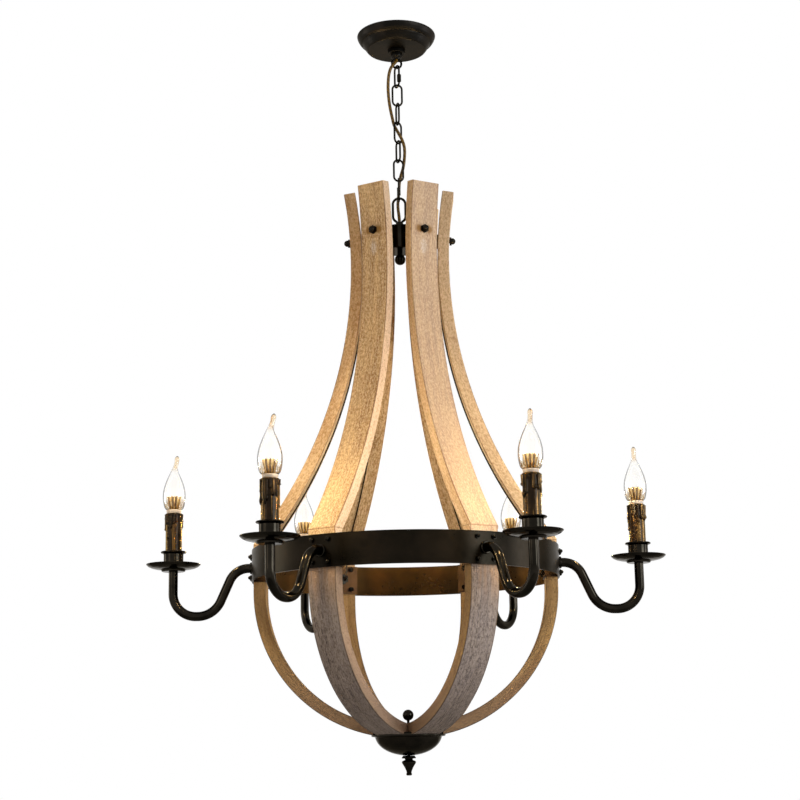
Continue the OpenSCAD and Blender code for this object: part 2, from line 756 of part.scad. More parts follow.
module bulb_glass() {
    heights = [for (k = [0:glass_steps]) glass_h * k / glass_steps];
    color("#fff7e6") for (n = [0:arm_count - 1]) rotate([0, 0, step * n])
        translate([candle_r, 0, ring_z + sleeve_top + 5.6])
        rotate([0, 0, tip_turn[n] - step * n]) union() {
            difference() {
                rotate_extrude() polygon(concat(
                    [[0, 0]], [for (z = heights) [glass_r(z), z]], [[0, glass_h]]
                ));
                translate([0, 0, -0.1]) rotate_extrude() polygon(concat(
                    [[0, 0]],
                    [for (z = heights) if (z < glass_h - 8) [glass_r(z) - glass_wall, z]],
                    [[0, glass_h - 8]]
                ));
            }
            translate([0, 0, glass_h - 1.2]) rotate([0, 11, 0]) {
                cylinder(r1 = glass_neck_r - 0.1, r2 = 2.2, h = 16);
                translate([0, 0, 16]) sphere(r = 2.8);
            }
        }
}

// ---------------------------------------------------------------- bottom

module bottom_bowl() {
    r = bowl_d / 2;
    body_r = r - 5.6;
    low = -bowl_h;
    deep = 30;
    shell = [for (k = [1:14]) let (a = 84 * (1 - k / 14))
        [body_r * sin(a), low + deep * (1 - cos(a))]];
    inside = [for (k = [14:-1:1]) let (a = 82 * (1 - k / 14))
        [(body_r - bowl_wall) * sin(a), low + bowl_wall + (deep - bowl_wall) * (1 - cos(a))]];
    color("#211f1d") translate([0, 0, bowl_lip_z]) difference() {
        rotate_extrude() polygon(concat(
            [[r - 7, 0], [r - 1.2, 0], [r, -1.2], [r, -4.6], [r - 1.2, -5.8], [r - 4.4, -6.1],
                [body_r, -6.8]],
            shell, inside, [[body_r - bowl_wall, -6.2]]
        ));
        translate([0, 0, low - 1]) cylinder(d = rod_d + 0.2, h = 4);
    }
}

module bottom_plate() {
    color("#33291f") translate([0, 0, bowl_lip_z - 2]) difference() {
        cylinder(r = bowl_d / 2 - 8, h = 2);
        translate([0, 0, -1]) cylinder(d = rod_d + 0.2, h = 4);
        around() translate([22, 0, -1]) cylinder(d = 3.4, h = 4);
    }
}

module plate_screws() {
    color("#9a9a98") around() translate([22, 0, bowl_lip_z - 2.1]) {
        cylinder(d = 2.9, h = 11);
        rotate([180, 0, 0]) cylinder(d1 = 6.4, d2 = 5, h = 2);
    }
}

module centre_rod() {
    low = bowl_bottom - 12;
    color("#1d1b1a") {
        translate([0, 0, low]) cylinder(d = rod_d, h = knob_z - low);
        translate([0, 0, knob_z]) sphere(d = knob_d);
    }
}

module rod_nut() {
    color("#9a9a98") translate([0, 0, bowl_lip_z - 5.3]) difference() {
        cylinder(d = 7 / cos(30), h = 3.2, $fn = 6);
        translate([0, 0, -1]) cylinder(d = rod_d + 0.1, h = 6);
    }
}

module finial() {
    h = finial_h;
    color("#211f1d") translate([0, 0, bowl_bottom - 0.05]) rotate([180, 0, 0]) difference() {
        rotate_extrude() polygon([
            [0, 0], [8.6, 0], [9.4, 1], [10.7, 3], [10.4, 3.9], [6.2, 4.5], [5.8, 5.4],
            [6.3, 6.3], [9.6, 7.6], [10.7, 9], [10.3, 10.8], [8.4, 13.8], [6.2, 17.4],
            [4.6, 21], [3.8, 23.6], [3.6, h - 4], [4.3, h - 2.6], [4.2, h - 1], [3, h], [0, h]
        ]);
        translate([0, 0, -1]) cylinder(d = rod_d + 0.1, h = 14);
    }
}

// ---------------------------------------------------------------- assembly

ceiling_canopy();
canopy_crossbar();
canopy_nipple();
nipple_locknut();
collar_ring();
collar_loop();
quick_link(0);  // quick_link_top
quick_sleeve(0);  // quick_sleeve_top
plain_link(1);  // chain_link_1
plain_link(2);  // chain_link_2
plain_link(3);  // chain_link_3
plain_link(4);  // chain_link_4
plain_link(5);  // chain_link_5
quick_link(6);  // quick_link_bottom
quick_sleeve(6);  // quick_sleeve_bottom
supply_cord();
hub_eye();
hub_cover();
hub_drum();
hub_ball();
stave_bosses();
stave_bolts();
upper_stave(1);  // upper_stave_1
upper_stave(2);  // upper_stave_2
upper_stave(3);  // upper_stave_3
upper_stave(4);  // upper_stave_4
upper_stave(5);  // upper_stave_5
upper_stave(6);  // upper_stave_6
lower_stave(1);  // lower_stave_1
lower_stave(2);  // lower_stave_2
lower_stave(3);  // lower_stave_3
lower_stave(4);  // lower_stave_4
lower_stave(5);  // lower_stave_5
lower_stave(6);  // lower_stave_6
ring_band();
stave_brackets();
ring_screws();
arm(1);  // arm_1
arm(2);  // arm_2
arm(3);  // arm_3
arm(4);  // arm_4
arm(5);  // arm_5
arm(6);  // arm_6
arm_collars();
arm_locknuts();
stave_wires();
saucers();
candle_cups();
candle_sleeves();
lamp_sockets();
bulb_bases();
bulb_collars();
light_guides();
bulb_glass();
bottom_bowl();
bottom_plate();
plate_screws();
centre_rod();
rod_nut();
finial();
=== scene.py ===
"""Open basket chandelier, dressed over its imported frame: light, cord, lamps, wood and metal.

Lengths are in metres, in the frame of the CAD model: the origin is on the ceiling, +Z is up.
"""
import json
import math

import bpy
import numpy as np
from mathutils import Matrix, Vector


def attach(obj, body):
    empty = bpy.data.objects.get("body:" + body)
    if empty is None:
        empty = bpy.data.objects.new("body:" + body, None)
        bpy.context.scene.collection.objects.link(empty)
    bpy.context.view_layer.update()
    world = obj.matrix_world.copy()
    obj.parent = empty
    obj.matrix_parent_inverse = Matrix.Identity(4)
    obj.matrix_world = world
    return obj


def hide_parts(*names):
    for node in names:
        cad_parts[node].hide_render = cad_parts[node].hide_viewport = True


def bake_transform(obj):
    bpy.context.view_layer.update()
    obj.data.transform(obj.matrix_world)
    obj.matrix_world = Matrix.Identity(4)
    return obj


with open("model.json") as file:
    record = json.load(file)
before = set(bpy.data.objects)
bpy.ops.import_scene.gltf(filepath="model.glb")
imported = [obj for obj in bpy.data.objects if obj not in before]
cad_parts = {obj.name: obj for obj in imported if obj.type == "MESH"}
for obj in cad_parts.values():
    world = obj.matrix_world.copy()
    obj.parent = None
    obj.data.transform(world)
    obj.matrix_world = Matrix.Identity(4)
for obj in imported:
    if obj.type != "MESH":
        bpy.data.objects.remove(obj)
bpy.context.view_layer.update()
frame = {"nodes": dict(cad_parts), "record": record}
scene = bpy.context.scene

RING_Z = -0.864  # the middle of the ring's height
RING_INSIDE = 0.2305  # the ring's inner radius
CANDLE_R = 0.354  # from the axis to the middle of each candle
SLEEVE_TOP = RING_Z + 0.086
COLLAR_TOP = SLEEVE_TOP + 0.0056
FOOT_LINE = RING_Z + 0.032  # where the bend of an upper stave ends in its flat foot
WAIST_Z = RING_Z + 0.470  # where the upper staves come closest to the axis
BOLT_Z = WAIST_Z + 0.043  # the bolts through the tops of the staves
SCUFF_Z = BOLT_Z - 0.028
LAMP_ANGLES = [math.radians(60 * n) for n in range(6)]

# The staves: half their width, the centres of their long bends as seen from the side, and the
# radius of an upper stave's inner face and of a lower stave's outer one. The upper bends are
# centred at the height of the waist.
STAVE_HALF = 0.0235
UPPER_BEND_X, UPPER_INNER = 0.777, 0.718
LOWER_BEND_X, LOWER_BEND_Z, LOWER_OUTER = 0.01021, RING_Z - 0.038, 0.219


# ---------------------------------------------------------------- camera and light


def place_camera():
    """The photograph's view: a little below the ring, pitched up 12 degrees."""
    pitch, yaw, roll = 0.21294, -0.006653, -0.0173
    place = (0.01303, -2.55462, -1.15873)
    turned = math.radians(0.6)
    data = bpy.data.cameras.new("camera")
    data.lens = 75.69
    data.sensor_width = 36
    data.clip_end = 40
    camera = bpy.data.objects.new("camera", data)
    scene.collection.objects.link(camera)
    forward = Vector((
        math.sin(yaw) * math.cos(pitch), math.cos(yaw) * math.cos(pitch), math.sin(pitch)
    ))
    right = Vector((math.cos(yaw), -math.sin(yaw), 0))
    up = right.cross(forward)
    axes = Matrix((
        math.cos(roll) * right + math.sin(roll) * up,
        -math.sin(roll) * right + math.cos(roll) * up,
        -forward,
    )).transposed().to_4x4()
    axes.translation = Vector(place)
    camera.matrix_world = Matrix.Rotation(turned, 4, "Z") @ axes
    scene.camera = camera


def area_light(name, place, target, size, power, colour=(1, 1, 1)):
    """A round soft lamp that looks from its place at the target."""
    data = bpy.data.lights.new(name, "AREA")
    data.shape = "DISK"
    data.size = size
    data.energy = power
    data.color = colour
    lamp = bpy.data.objects.new(name, data)
    scene.collection.objects.link(lamp)
    lamp.location = place
    aim = Vector(target) - Vector(place)
    lamp.rotation_euler = aim.to_track_quat("-Z", "Y").to_euler()


def studio():
    """Pale floor, white surroundings and soft lamps left and right of the camera."""
    scene.view_settings.view_transform = "Standard"
    world = bpy.data.worlds.new("studio")
    scene.world = world
    world.use_nodes = True
    world.node_tree.nodes.clear()
    nodes = Nodes(world.node_tree)
    path = nodes.add("LightPath").outputs
    seen = nodes.math("MAXIMUM", path["Is Camera Ray"], path["Is Glossy Ray"])
    seen = nodes.math("MAXIMUM", seen, path["Is Transmission Ray"])
    soft = nodes.add("Background")
    soft.inputs["Color"].default_value = (1, 0.92, 0.8, 1)
    soft.inputs["Strength"].default_value = 0.25
    white = nodes.add("Background")
    white.inputs["Color"].default_value = (1, 1, 1, 1)
    mix = nodes.add("MixShader")
    nodes.join(seen, mix.inputs[0])
    nodes.join(soft.outputs[0], mix.inputs[1])
    nodes.join(white.outputs[0], mix.inputs[2])
    nodes.join(mix.outputs[0], nodes.add("OutputWorld").inputs["Surface"])

    floor_z, floor_r, corners = -1.75, 2.2, 96
    mesh = bpy.data.meshes.new("floor")
    rim = [(floor_r * math.cos(a), floor_r * math.sin(a), floor_z)
           for a in np.linspace(0, 2 * math.pi, corners, endpoint=False)]
    mesh.from_pydata(rim, [], [list(range(corners))])
    floor = bpy.data.objects.new("floor", mesh)
    scene.collection.objects.link(floor)
    mesh.materials.append(floor_paint())

    centre = (0, 0, -0.7)
    area_light("left_softbox", (-2.3, -2.2, 0.1), centre, 1.6, 12, (1, 0.9, 0.78))
    area_light("right_softbox", (2.5, -1.8, -0.2), centre, 1.5, 54, (0.88, 0.95, 1))
    area_light("left_rim", (-2.6, 0.6, -0.6), centre, 0.8, 12)
    area_light("right_rim", (2.7, 0.1, -0.6), centre, 0.9, 20, (0.86, 0.9, 1))


# ---------------------------------------------------------------- meshes


def piece(name, points, faces, material):
    """A new smooth mesh object made of rows of points and lists of corner numbers."""
    mesh = bpy.data.meshes.new(name)
    mesh.from_pydata([tuple(p) for p in points], [], [tuple(int(i) for i in f) for f in faces])
    mesh.materials.append(material)
    mesh.polygons.foreach_set("use_smooth", [True] * len(mesh.polygons))
    obj = bpy.data.objects.new(name, mesh)
    scene.collection.objects.link(obj)
    return obj


def lofted(rings):
    """Points and outward faces of a closed skin through rings that all have as many points."""
    rings = np.asarray(rings, float)
    count, sides = rings.shape[:2]
    faces = []
    for i in range(count - 1):
        here, there = i * sides, (i + 1) * sides
        for k in range(sides):
            m = (k + 1) % sides
            faces.append((here + k, here + m, there + m, there + k))
    faces.append(tuple(range(sides - 1, -1, -1)))
    faces.append(tuple((count - 1) * sides + k for k in range(sides)))
    return rings.reshape(-1, 3), faces


def joined(parts):
    """Several (points, faces) pairs as one."""
    points, faces, shift = [], [], 0
    for p, f in parts:
        points.append(np.asarray(p, float))
        faces += [tuple(i + shift for i in face) for face in f]
        shift += len(p)
    return np.concatenate(points), faces


def smooth_path(route, spacing):
    """A curve through the route's points, as points that lie about spacing apart."""
    p = np.asarray(route, float)
    p = np.concatenate([[2 * p[0] - p[1]], p, [2 * p[-1] - p[-2]]])
    out = []
    for i in range(1, len(p) - 2):
        a, b, c, d = p[i - 1], p[i], p[i + 1], p[i + 2]
        steps = max(2, int(round(np.linalg.norm(c - b) / spacing)))
        for t in np.arange(steps) / steps:
            out.append(0.5 * (2 * b + (c - a) * t + (2 * a - 5 * b + 4 * c - d) * t ** 2
                              + (3 * b - a - 3 * c + d) * t ** 3))
    out.append(p[-2])
    return np.array(out)


def carried_rings(path, radius, sides):
    """Rings of points square to the path, carried along it without twist."""
    way = np.gradient(path, axis=0)
    way /= np.linalg.norm(way, axis=1)[:, None]
    side = np.cross([0, 1, 0], way[0])
    side /= np.linalg.norm(side)
    turn = np.linspace(0, 2 * math.pi, sides, endpoint=False)
    radius = np.broadcast_to(radius, len(path))
    rings = []
    for point, direction, r in zip(path, way, radius):
        side = side - direction * side.dot(direction)
        side /= np.linalg.norm(side)
        other = np.cross(direction, side)
        rings.append(point + r * (np.cos(turn)[:, None] * side + np.sin(turn)[:, None] * other))
    return np.array(rings)


# ---------------------------------------------------------------- geometry node tools


class Shapes:
    """Short calls that add nodes to one geometry node tree, whose inputs have names and values."""

    def __init__(self, name, **inputs):
        self.tree = bpy.data.node_groups.new(name, "GeometryNodeTree")
        self.tree.interface.new_socket("Geometry", in_out="OUTPUT",
                                       socket_type="NodeSocketGeometry")
        kinds = {int: "NodeSocketInt", float: "NodeSocketFloat",
                 bpy.types.Material: "NodeSocketMaterial"}
        self.values = {}
        for key, value in inputs.items():
            socket = self.tree.interface.new_socket(
                key.replace("_", " "), in_out="INPUT", socket_type=kinds[type(value)])
            self.values[socket.identifier] = value
        self.given = self.tree.nodes.new("NodeGroupInput").outputs
        self.result = self.tree.nodes.new("NodeGroupOutput").inputs[0]

    def add(self, kind, values=(), **settings):
        node = self.tree.nodes.new(kind)
        for key, value in settings.items():
            setattr(node, key, value)
        for key, value in dict(values).items():
            self.join(value, node.inputs[key])
        return node

    def join(self, source, target):
        if isinstance(source, bpy.types.NodeSocket):
            self.tree.links.new(source, target)
        else:
            target.default_value = source

    def math(self, operation, a, b=0.0, c=0.0):
        node = self.add("ShaderNodeMath", operation=operation)
        for value, socket in zip((a, b, c), node.inputs):
            self.join(value, socket)
        return node.outputs[0]

    def vector(self, x, y, z):
        node = self.add("ShaderNodeCombineXYZ")
        for value, socket in zip((x, y, z), node.inputs):
            self.join(value, socket)
        return node.outputs[0]

    def place(self, geometry, position):
        return self.add("GeometryNodeSetPosition",
                        {"Geometry": geometry, "Position": position}).outputs[0]

    def repeat(self, points, shape, rotation, scale=(1, 1, 1)):
        return self.add("GeometryNodeInstanceOnPoints", {
            "Points": points, "Instance": shape, "Rotation": rotation, "Scale": scale}).outputs[0]

    def random(self, low, high, seed):
        node = self.add("FunctionNodeRandomValue", data_type="FLOAT")
        for value, socket in zip((low, high), (node.inputs[2], node.inputs[3])):
            self.join(value, socket)
        self.join(seed, node.inputs["Seed"])
        return node.outputs[1]

    def finish(self, geometry, smooth):
        """End the tree and return its result as one plain mesh object."""
        real = self.add("GeometryNodeRealizeInstances", {"Geometry": geometry}).outputs[0]
        shade = self.add("GeometryNodeSetShadeSmooth",
                         {0: real, "Shade Smooth": smooth}).outputs[0]
        painted = self.add("GeometryNodeSetMaterial",
                           {"Geometry": shade, "Material": self.given["Finish"]}).outputs[0]
        self.tree.links.new(painted, self.result)
        obj = bpy.data.objects.new(self.tree.name, bpy.data.meshes.new(self.tree.name))
        modifier = obj.modifiers.new("shape", "NODES")
        modifier.node_group = self.tree
        for identifier, value in self.values.items():
            modifier[identifier] = value
        scene.collection.objects.link(obj)
        graph = bpy.context.evaluated_depsgraph_get()
        mesh = bpy.data.meshes.new_from_object(obj.evaluated_get(graph))
        obj.modifiers.clear()
        obj.data = mesh
        return obj


# ---------------------------------------------------------------- supply cord

# The middle line of the cord in millimetres, from the canopy's nipple through the links to the hub.
CORD_ROUTE = [
    (0, 0, -6), (0, 0, -24), (0, 0, -34), (-0.2, -0.4, -40), (-1.4, -2.6, -45.5),
    (-4.6, -5.8, -51), (-9.8, -6.4, -58.5), (-13, -5, -70), (-14.4, -3, -86),
    (-14.2, -1, -100), (-13, 2, -114), (-11, 4.5, -127), (-8.4, 5.8, -140),
    (-6.2, 4.2, -151), (-2, 1.2, -161), (2, -2, -170), (6.5, -4, -180), (9.5, -4, -190),
    (10.4, -3, -199), (10, 0.8, -207), (8.8, 6, -216), (6.8, 7.4, -226), (3.6, 8.8, -236),
    (1.2, 10.8, -246), (0.2, 12.4, -256), (-0.6, 12.6, -266), (-1.4, 12.4, -274),
    (-2, 10.2, -282), (-2, 6.2, -289.5), (-1.6, 3, -296.5), (-0.9, 1, -303),
    (-0.3, 0.2, -310), (0, 0, -317), (0, 0, -332),
]
CORD_D = 0.005
CORD_TWISTS = 70  # turns of its two cores in each metre
# The bodies of the chain from the top, and the height at which each hangs in the one before it.
HANG_Z = [-0.0535, -0.0865, -0.1185, -0.1505, -0.1825, -0.2145, -0.2465, -0.2795]


def supply_cord(material):
    """The cord in eight stretches, each of which bends across one joint of the chain."""
    spacing, sides = 0.0011, 20
    path = smooth_path(np.array(CORD_ROUTE) / 1000, spacing)
    rings = carried_rings(path, CORD_D / 2, sides)
    gone = np.concatenate([[0], np.cumsum(np.linalg.norm(np.diff(path, axis=0), axis=1))])
    middles = [(a + b) / 2 for a, b in zip(HANG_Z, HANG_Z[1:])]
    cuts = [0] + [int(np.argmin(abs(path[:, 2] - z))) for z in middles] + [len(path) - 1]
    for n, (first, last) in enumerate(zip(cuts, cuts[1:])):
        points, faces = lofted(rings[first:last + 1])
        stretch = piece(f"supply_cord_{n + 1}", points, faces, material)
        wrap = stretch.data.uv_layers.new(name="along")
        for polygon in stretch.data.polygons:
            columns = {v % sides for v in polygon.vertices}
            seam = len(polygon.vertices) == 4 and columns == {0, sides - 1}
            for loop in polygon.loop_indices:
                v = stretch.data.loops[loop].vertex_index
                u = 1.0 if seam and v % sides == 0 else v % sides / sides
                wrap.data[loop].uv = (u, gone[first + v // sides])
        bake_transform(stretch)
        if n == 0:
            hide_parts("supply_cord")


# ---------------------------------------------------------------- shader tools


class Nodes:
    """Short calls that add nodes to one shader tree or node group."""

    def __init__(self, tree):
        self.tree = tree

    def add(self, kind, **settings):
        node = self.tree.nodes.new("ShaderNode" + kind)
        for key, value in settings.items():
            setattr(node, key, value)
        return node

    def join(self, source, target):
        if isinstance(source, bpy.types.NodeSocket):
            self.tree.links.new(source, target)
        else:
            target.default_value = source

    def math(self, operation, a, b=None, c=None):
        node = self.add("Math", operation=operation)
        for value, socket in zip((a, b, c), node.inputs):
            if value is not None:
                self.join(value, socket)
        return node.outputs[0]

    def step(self, value, low, high):
        """0 below low, 1 above high, smooth between them."""
        node = self.add("MapRange", interpolation_type="SMOOTHSTEP")
        self.join(value, node.inputs["Value"])
        self.join(low, node.inputs["From Min"])
        self.join(high, node.inputs["From Max"])
        return node.outputs[0]

    def fall(self, value, low, high):
        """1 below low, 0 above high, smooth between them."""
        return self.math("SUBTRACT", 1, self.step(value, low, high))

    def length(self, a, b):
        """How far the point with these two coordinates is from zero."""
        return self.math("SQRT", self.math("ADD", self.math("MULTIPLY", a, a),
                                           self.math("MULTIPLY", b, b)))

    def scaled(self, point, scale):
        node = self.add("VectorMath", operation="MULTIPLY")
        self.join(point, node.inputs[0])
        self.join(scale, node.inputs[1])
        return node.outputs[0]

    def noise(self, point, scale, detail, rough, distortion=0.0):
        node = self.add("TexNoise")
        self.join(point, node.inputs["Vector"])
        for name, value in (("Scale", scale), ("Detail", detail), ("Roughness", rough),
                            ("Distortion", distortion)):
            self.join(value, node.inputs[name])
        return node.outputs["Fac"]

    def blend(self, amount, a, b):
        node = self.add("Mix", data_type="RGBA")
        self.join(amount, node.inputs[0])
        self.join(a, node.inputs[6])
        self.join(b, node.inputs[7])
        return node.outputs[2]

    def apart(self, vector):
        node = self.add("SeparateXYZ")
        self.join(vector, node.inputs[0])
        return node.outputs

    def together(self, x, y, z):
        node = self.add("CombineXYZ")
        for value, socket in zip((x, y, z), node.inputs):
            self.join(value, socket)
        return node.outputs[0]

    def use(self, group, **values):
        node = self.add("Group", node_tree=group)
        for name, value in values.items():
            self.join(value, node.inputs[name.replace("_", " ")])
        return node.outputs


def group(name, inputs, outputs):
    """A new shader group with named sockets: its node tools, its input and its output node."""
    tree = bpy.data.node_groups.new(name, "ShaderNodeTree")
    kinds = {"value": "NodeSocketFloat", "vector": "NodeSocketVector"}
    for socket, kind in inputs:
        tree.interface.new_socket(socket, in_out="INPUT", socket_type=kinds[kind])
    for socket, kind in outputs:
        tree.interface.new_socket(socket, in_out="OUTPUT", socket_type=kinds[kind])
    nodes = Nodes(tree)
    given = tree.nodes.new("NodeGroupInput").outputs
    result = tree.nodes.new("NodeGroupOutput").inputs
    return nodes, given, result


def colour(red, green, blue):
    """A colour as the eye names it, 0 to 255, turned into Blender's linear values."""
    def linear(c):
        c /= 255
        return c / 12.92 if c <= 0.04045 else ((c + 0.055) / 1.055) ** 2.4
    return (linear(red), linear(green), linear(blue), 1)


def material(name, **settings):
    """A Principled material; settings are its sockets by name."""
    made = bpy.data.materials.new(name)
    made.use_nodes = True
    nodes = Nodes(made.node_tree)
    surface = made.node_tree.nodes["Principled BSDF"]
    for key, value in settings.items():
        surface.inputs[key.replace("_", " ")].default_value = value
    return made, nodes, surface


def bump(nodes, surface, height, strength, distance):
    """Raise the surface by a height mask."""
    node = nodes.add("Bump")
    nodes.join(height, node.inputs["Height"])
    node.inputs["Strength"].default_value = strength
    node.inputs["Distance"].default_value = distance
    nodes.join(node.outputs[0], surface.inputs["Normal"])


def object_point(nodes):
    return nodes.add("TexCoord").outputs["Object"]


# ---------------------------------------------------------------- shader groups


def make_stave_frame():
    """A point on a bent stave as its length, width and bend radius, and the stave's number."""
    nodes, given, result = group(
        "stave_frame",
        [("Point", "vector"), ("Centre X", "value"), ("Centre Z", "value"), ("Way", "value")],
        [("Along", "value"), ("Across", "value"), ("Radius", "value"), ("Number", "value")],
    )
    x, y, z = nodes.apart(given["Point"])
    angle = nodes.math("ARCTAN2", y, x)
    number = nodes.math("ROUND", nodes.math("DIVIDE", angle, math.pi / 3))
    rest = nodes.math("SUBTRACT", angle, nodes.math("MULTIPLY", number, math.pi / 3))
    far = nodes.length(x, y)
    out = nodes.math("MULTIPLY", far, nodes.math("COSINE", rest))
    across = nodes.math("MULTIPLY", far, nodes.math("SINE", rest))
    dx = nodes.math("MULTIPLY", nodes.math("SUBTRACT", out, given["Centre X"]), given["Way"])
    dz = nodes.math("SUBTRACT", z, given["Centre Z"])
    radius = nodes.length(dx, dz)
    bend = nodes.math("ARCTAN2", dz, dx)
    nodes.join(nodes.math("MULTIPLY", bend, radius), result["Along"])
    nodes.join(across, result["Across"])
    nodes.join(radius, result["Radius"])
    nodes.join(number, result["Number"])
    return nodes.tree


def make_grain():
    """Sawn wood: long fibres, short dark pores and broad bands, as masks and a height."""
    nodes, given, result = group(
        "sawn_grain",
        [("Along", "value"), ("Across", "value"), ("Depth", "value"), ("Number", "value"),
         ("Coarseness", "value")],
        [("Bands", "value"), ("Fibres", "value"), ("Flecks", "value"), ("Pores", "value"),
         ("Height", "value")],
    )
    own_board = nodes.math("MULTIPLY", given["Number"], 1.37)
    point = nodes.together(nodes.math("ADD", given["Along"], own_board), given["Across"],
                           given["Depth"])
    waves = nodes.noise(nodes.scaled(point, (7, 22, 22)), 1, 2, 0.5)
    bands = nodes.noise(nodes.scaled(point, (8, 120, 120)), 1, 4, 0.55, 0.6)
    fibres = nodes.noise(nodes.scaled(point, (26, 520, 520)), given["Coarseness"], 4, 0.65)
    speck = nodes.noise(nodes.scaled(point, (210, 420, 420)), given["Coarseness"], 4, 0.7)
    lines = nodes.noise(nodes.scaled(point, (60, 1500, 1500)), given["Coarseness"], 3, 0.6)
    sawn = nodes.noise(nodes.scaled(point, (680, 40, 40)), given["Coarseness"], 2, 0.5)
    flecks = nodes.step(speck, 0.46, 0.62)
    dark = nodes.fall(speck, 0.36, 0.49)
    grooves = nodes.math("MULTIPLY", nodes.step(lines, 0.54, 0.68), 0.75)
    cuts = nodes.math("MULTIPLY", nodes.step(sawn, 0.56, 0.7), 0.4)
    pores = nodes.math("MAXIMUM", nodes.math("MAXIMUM", dark, grooves), cuts)
    broad = nodes.math("MULTIPLY_ADD", waves, 0.5, nodes.math("MULTIPLY", bands, 0.5))
    nodes.join(nodes.step(broad, 0.36, 0.64), result["Bands"])
    nodes.join(nodes.step(fibres, 0.4, 0.58), result["Fibres"])
    nodes.join(flecks, result["Flecks"])
    nodes.join(pores, result["Pores"])
    height = nodes.math("SUBTRACT", nodes.math("MULTIPLY", fibres, 0.7),
                        nodes.math("MULTIPLY", pores, 0.6))
    nodes.join(nodes.math("MULTIPLY_ADD", bands, 0.5, height), result["Height"])
    return nodes.tree


def make_mottle():
    """Rubbed paint: a cloudy mask for the colour and another for the gloss."""
    nodes, given, result = group(
        "rubbed_paint", [("Point", "vector"), ("Scale", "value")],
        [("Cloud", "value"), ("Gloss", "value"), ("Height", "value")],
    )
    cloud = nodes.noise(given["Point"], given["Scale"], 4, 0.6)
    fine = nodes.noise(given["Point"], nodes.math("MULTIPLY", given["Scale"], 14), 2, 0.5)
    both = nodes.math("MULTIPLY_ADD", cloud, 0.6, nodes.math("MULTIPLY", fine, 0.4))
    nodes.join(nodes.step(cloud, 0.35, 0.7), result["Cloud"])
    nodes.join(nodes.step(both, 0.35, 0.68), result["Gloss"])
    nodes.join(fine, result["Height"])
    return nodes.tree


# ---------------------------------------------------------------- materials

DARK_RIM = (0.62, 0.6, 0.57, 1)  # keeps blackened metal dark where it is seen edge on


def between(nodes, mask, low, high):
    """Low where the mask is 0, high where it is 1."""
    return nodes.math("MULTIPLY_ADD", mask, high - low, low)


def tinted(nodes, base, mask, amount, tone):
    """The base colour, taken towards a tone where the mask is set."""
    return nodes.blend(nodes.math("MULTIPLY", mask, amount), base, colour(*tone))


def floor_paint():
    """Pale matt floor, as bright to the camera as its white surroundings, clear from below."""
    made, nodes, surface = material("floor_paint", Roughness=0.9, Specular_IOR_Level=0.1,
                                    Emission_Color=(1, 0.995, 0.985, 1))
    surface.inputs["Base Color"].default_value = (0.68, 0.68, 0.67, 1)
    seen = nodes.add("LightPath").outputs["Is Camera Ray"]
    nodes.join(nodes.math("MULTIPLY", seen, 0.5), surface.inputs["Emission Strength"])
    mix = nodes.add("MixShader")
    nodes.join(nodes.add("NewGeometry").outputs["Backfacing"], mix.inputs[0])
    nodes.join(surface.outputs[0], mix.inputs[1])
    nodes.join(nodes.add("BsdfTransparent").outputs[0], mix.inputs[2])
    nodes.join(mix.outputs[0], made.node_tree.nodes["Material Output"].inputs["Surface"])
    return made


def painted_metal(name, mottle, dark, light, scale, rough):
    """Blackened metal, cloudy in colour and gloss, with edges nearly as dark as its faces."""
    return cloudy(name, mottle, dark, light, scale, rough, Metallic=1.0, Specular_Tint=DARK_RIM)


def cloudy(name, mottle, dark, light, scale, rough, **settings):
    """Plain metal or plastic with the slight clouding of handling and moulding."""
    made, nodes, surface = material(name, **settings)
    cloud, gloss, height = nodes.use(mottle, Point=object_point(nodes), Scale=scale)[:3]
    nodes.join(nodes.blend(cloud, dark, light), surface.inputs["Base Color"])
    nodes.join(between(nodes, gloss, *rough), surface.inputs["Roughness"])
    bump(nodes, surface, height, 0.05, 0.0003)
    return made


def candle_wax(mottle):
    """Glossy dark brown sleeve under lumpy wax, whose hollows and ridges catch the lamps, with
    vertical gold streaks painted in as the lamps' reflections.
    """
    made, nodes, surface = material("sleeve_plastic", Metallic=1.0, Roughness=0.16,
                                    Specular_Tint=(1, 0.82, 0.55, 1), Coat_Weight=0.1,
                                    Coat_Roughness=0.06)
    point = object_point(nodes)
    cloud = nodes.use(mottle, Point=point, Scale=40)["Cloud"]
    body = nodes.blend(cloud, colour(22, 16, 9), colour(42, 29, 15))
    # Painted reflection: vertical gold streaks that stand in for the lamps' glints on the sleeve.
    runs = nodes.step(nodes.noise(nodes.scaled(point, (330, 330, 13)), 1, 2, 0.5), 0.55, 0.64)
    nodes.join(nodes.blend(runs, body, colour(100, 74, 38)), surface.inputs["Base Color"])
    lumps = nodes.noise(nodes.scaled(point, (160, 160, 210)), 1, 3, 0.6)
    bump(nodes, surface, lumps, 0.7, 0.0022)
    return made


def ring_metal(mottle):
    """The ring's brushed outside, and a browner, patchier inside painted as the lamps' gold
    reflection.
    """
    made, nodes, surface = material("ring_steel", Metallic=1.0, Specular_Tint=DARK_RIM)
    point = object_point(nodes)
    cloud, gloss, height = nodes.use(mottle, Point=point, Scale=14)[:3]
    x, y, _ = nodes.apart(point)
    inside = nodes.fall(nodes.length(x, y), RING_INSIDE, RING_INSIDE + 0.001)
    outer = nodes.blend(cloud, colour(18, 16, 12), colour(27, 23, 18))
    # Painted reflection: the browner inside colour stands in for the lamps' gold light reflected in
    # the far inner face.
    inner = nodes.blend(cloud, colour(30, 21, 10), colour(48, 33, 14))
    nodes.join(nodes.blend(inside, outer, inner), surface.inputs["Base Color"])
    nodes.join(between(nodes, gloss, 0.27, 0.36), surface.inputs["Roughness"])
    bump(nodes, surface, height, 0.06, 0.0004)
    return made


def on_stave(nodes, stave, number):
    """1 on one stave and 0 on the others: -2 and -1 are the left and right front, 0 the right."""
    return nodes.math("COMPARE", stave["Number"], number, 0.5)


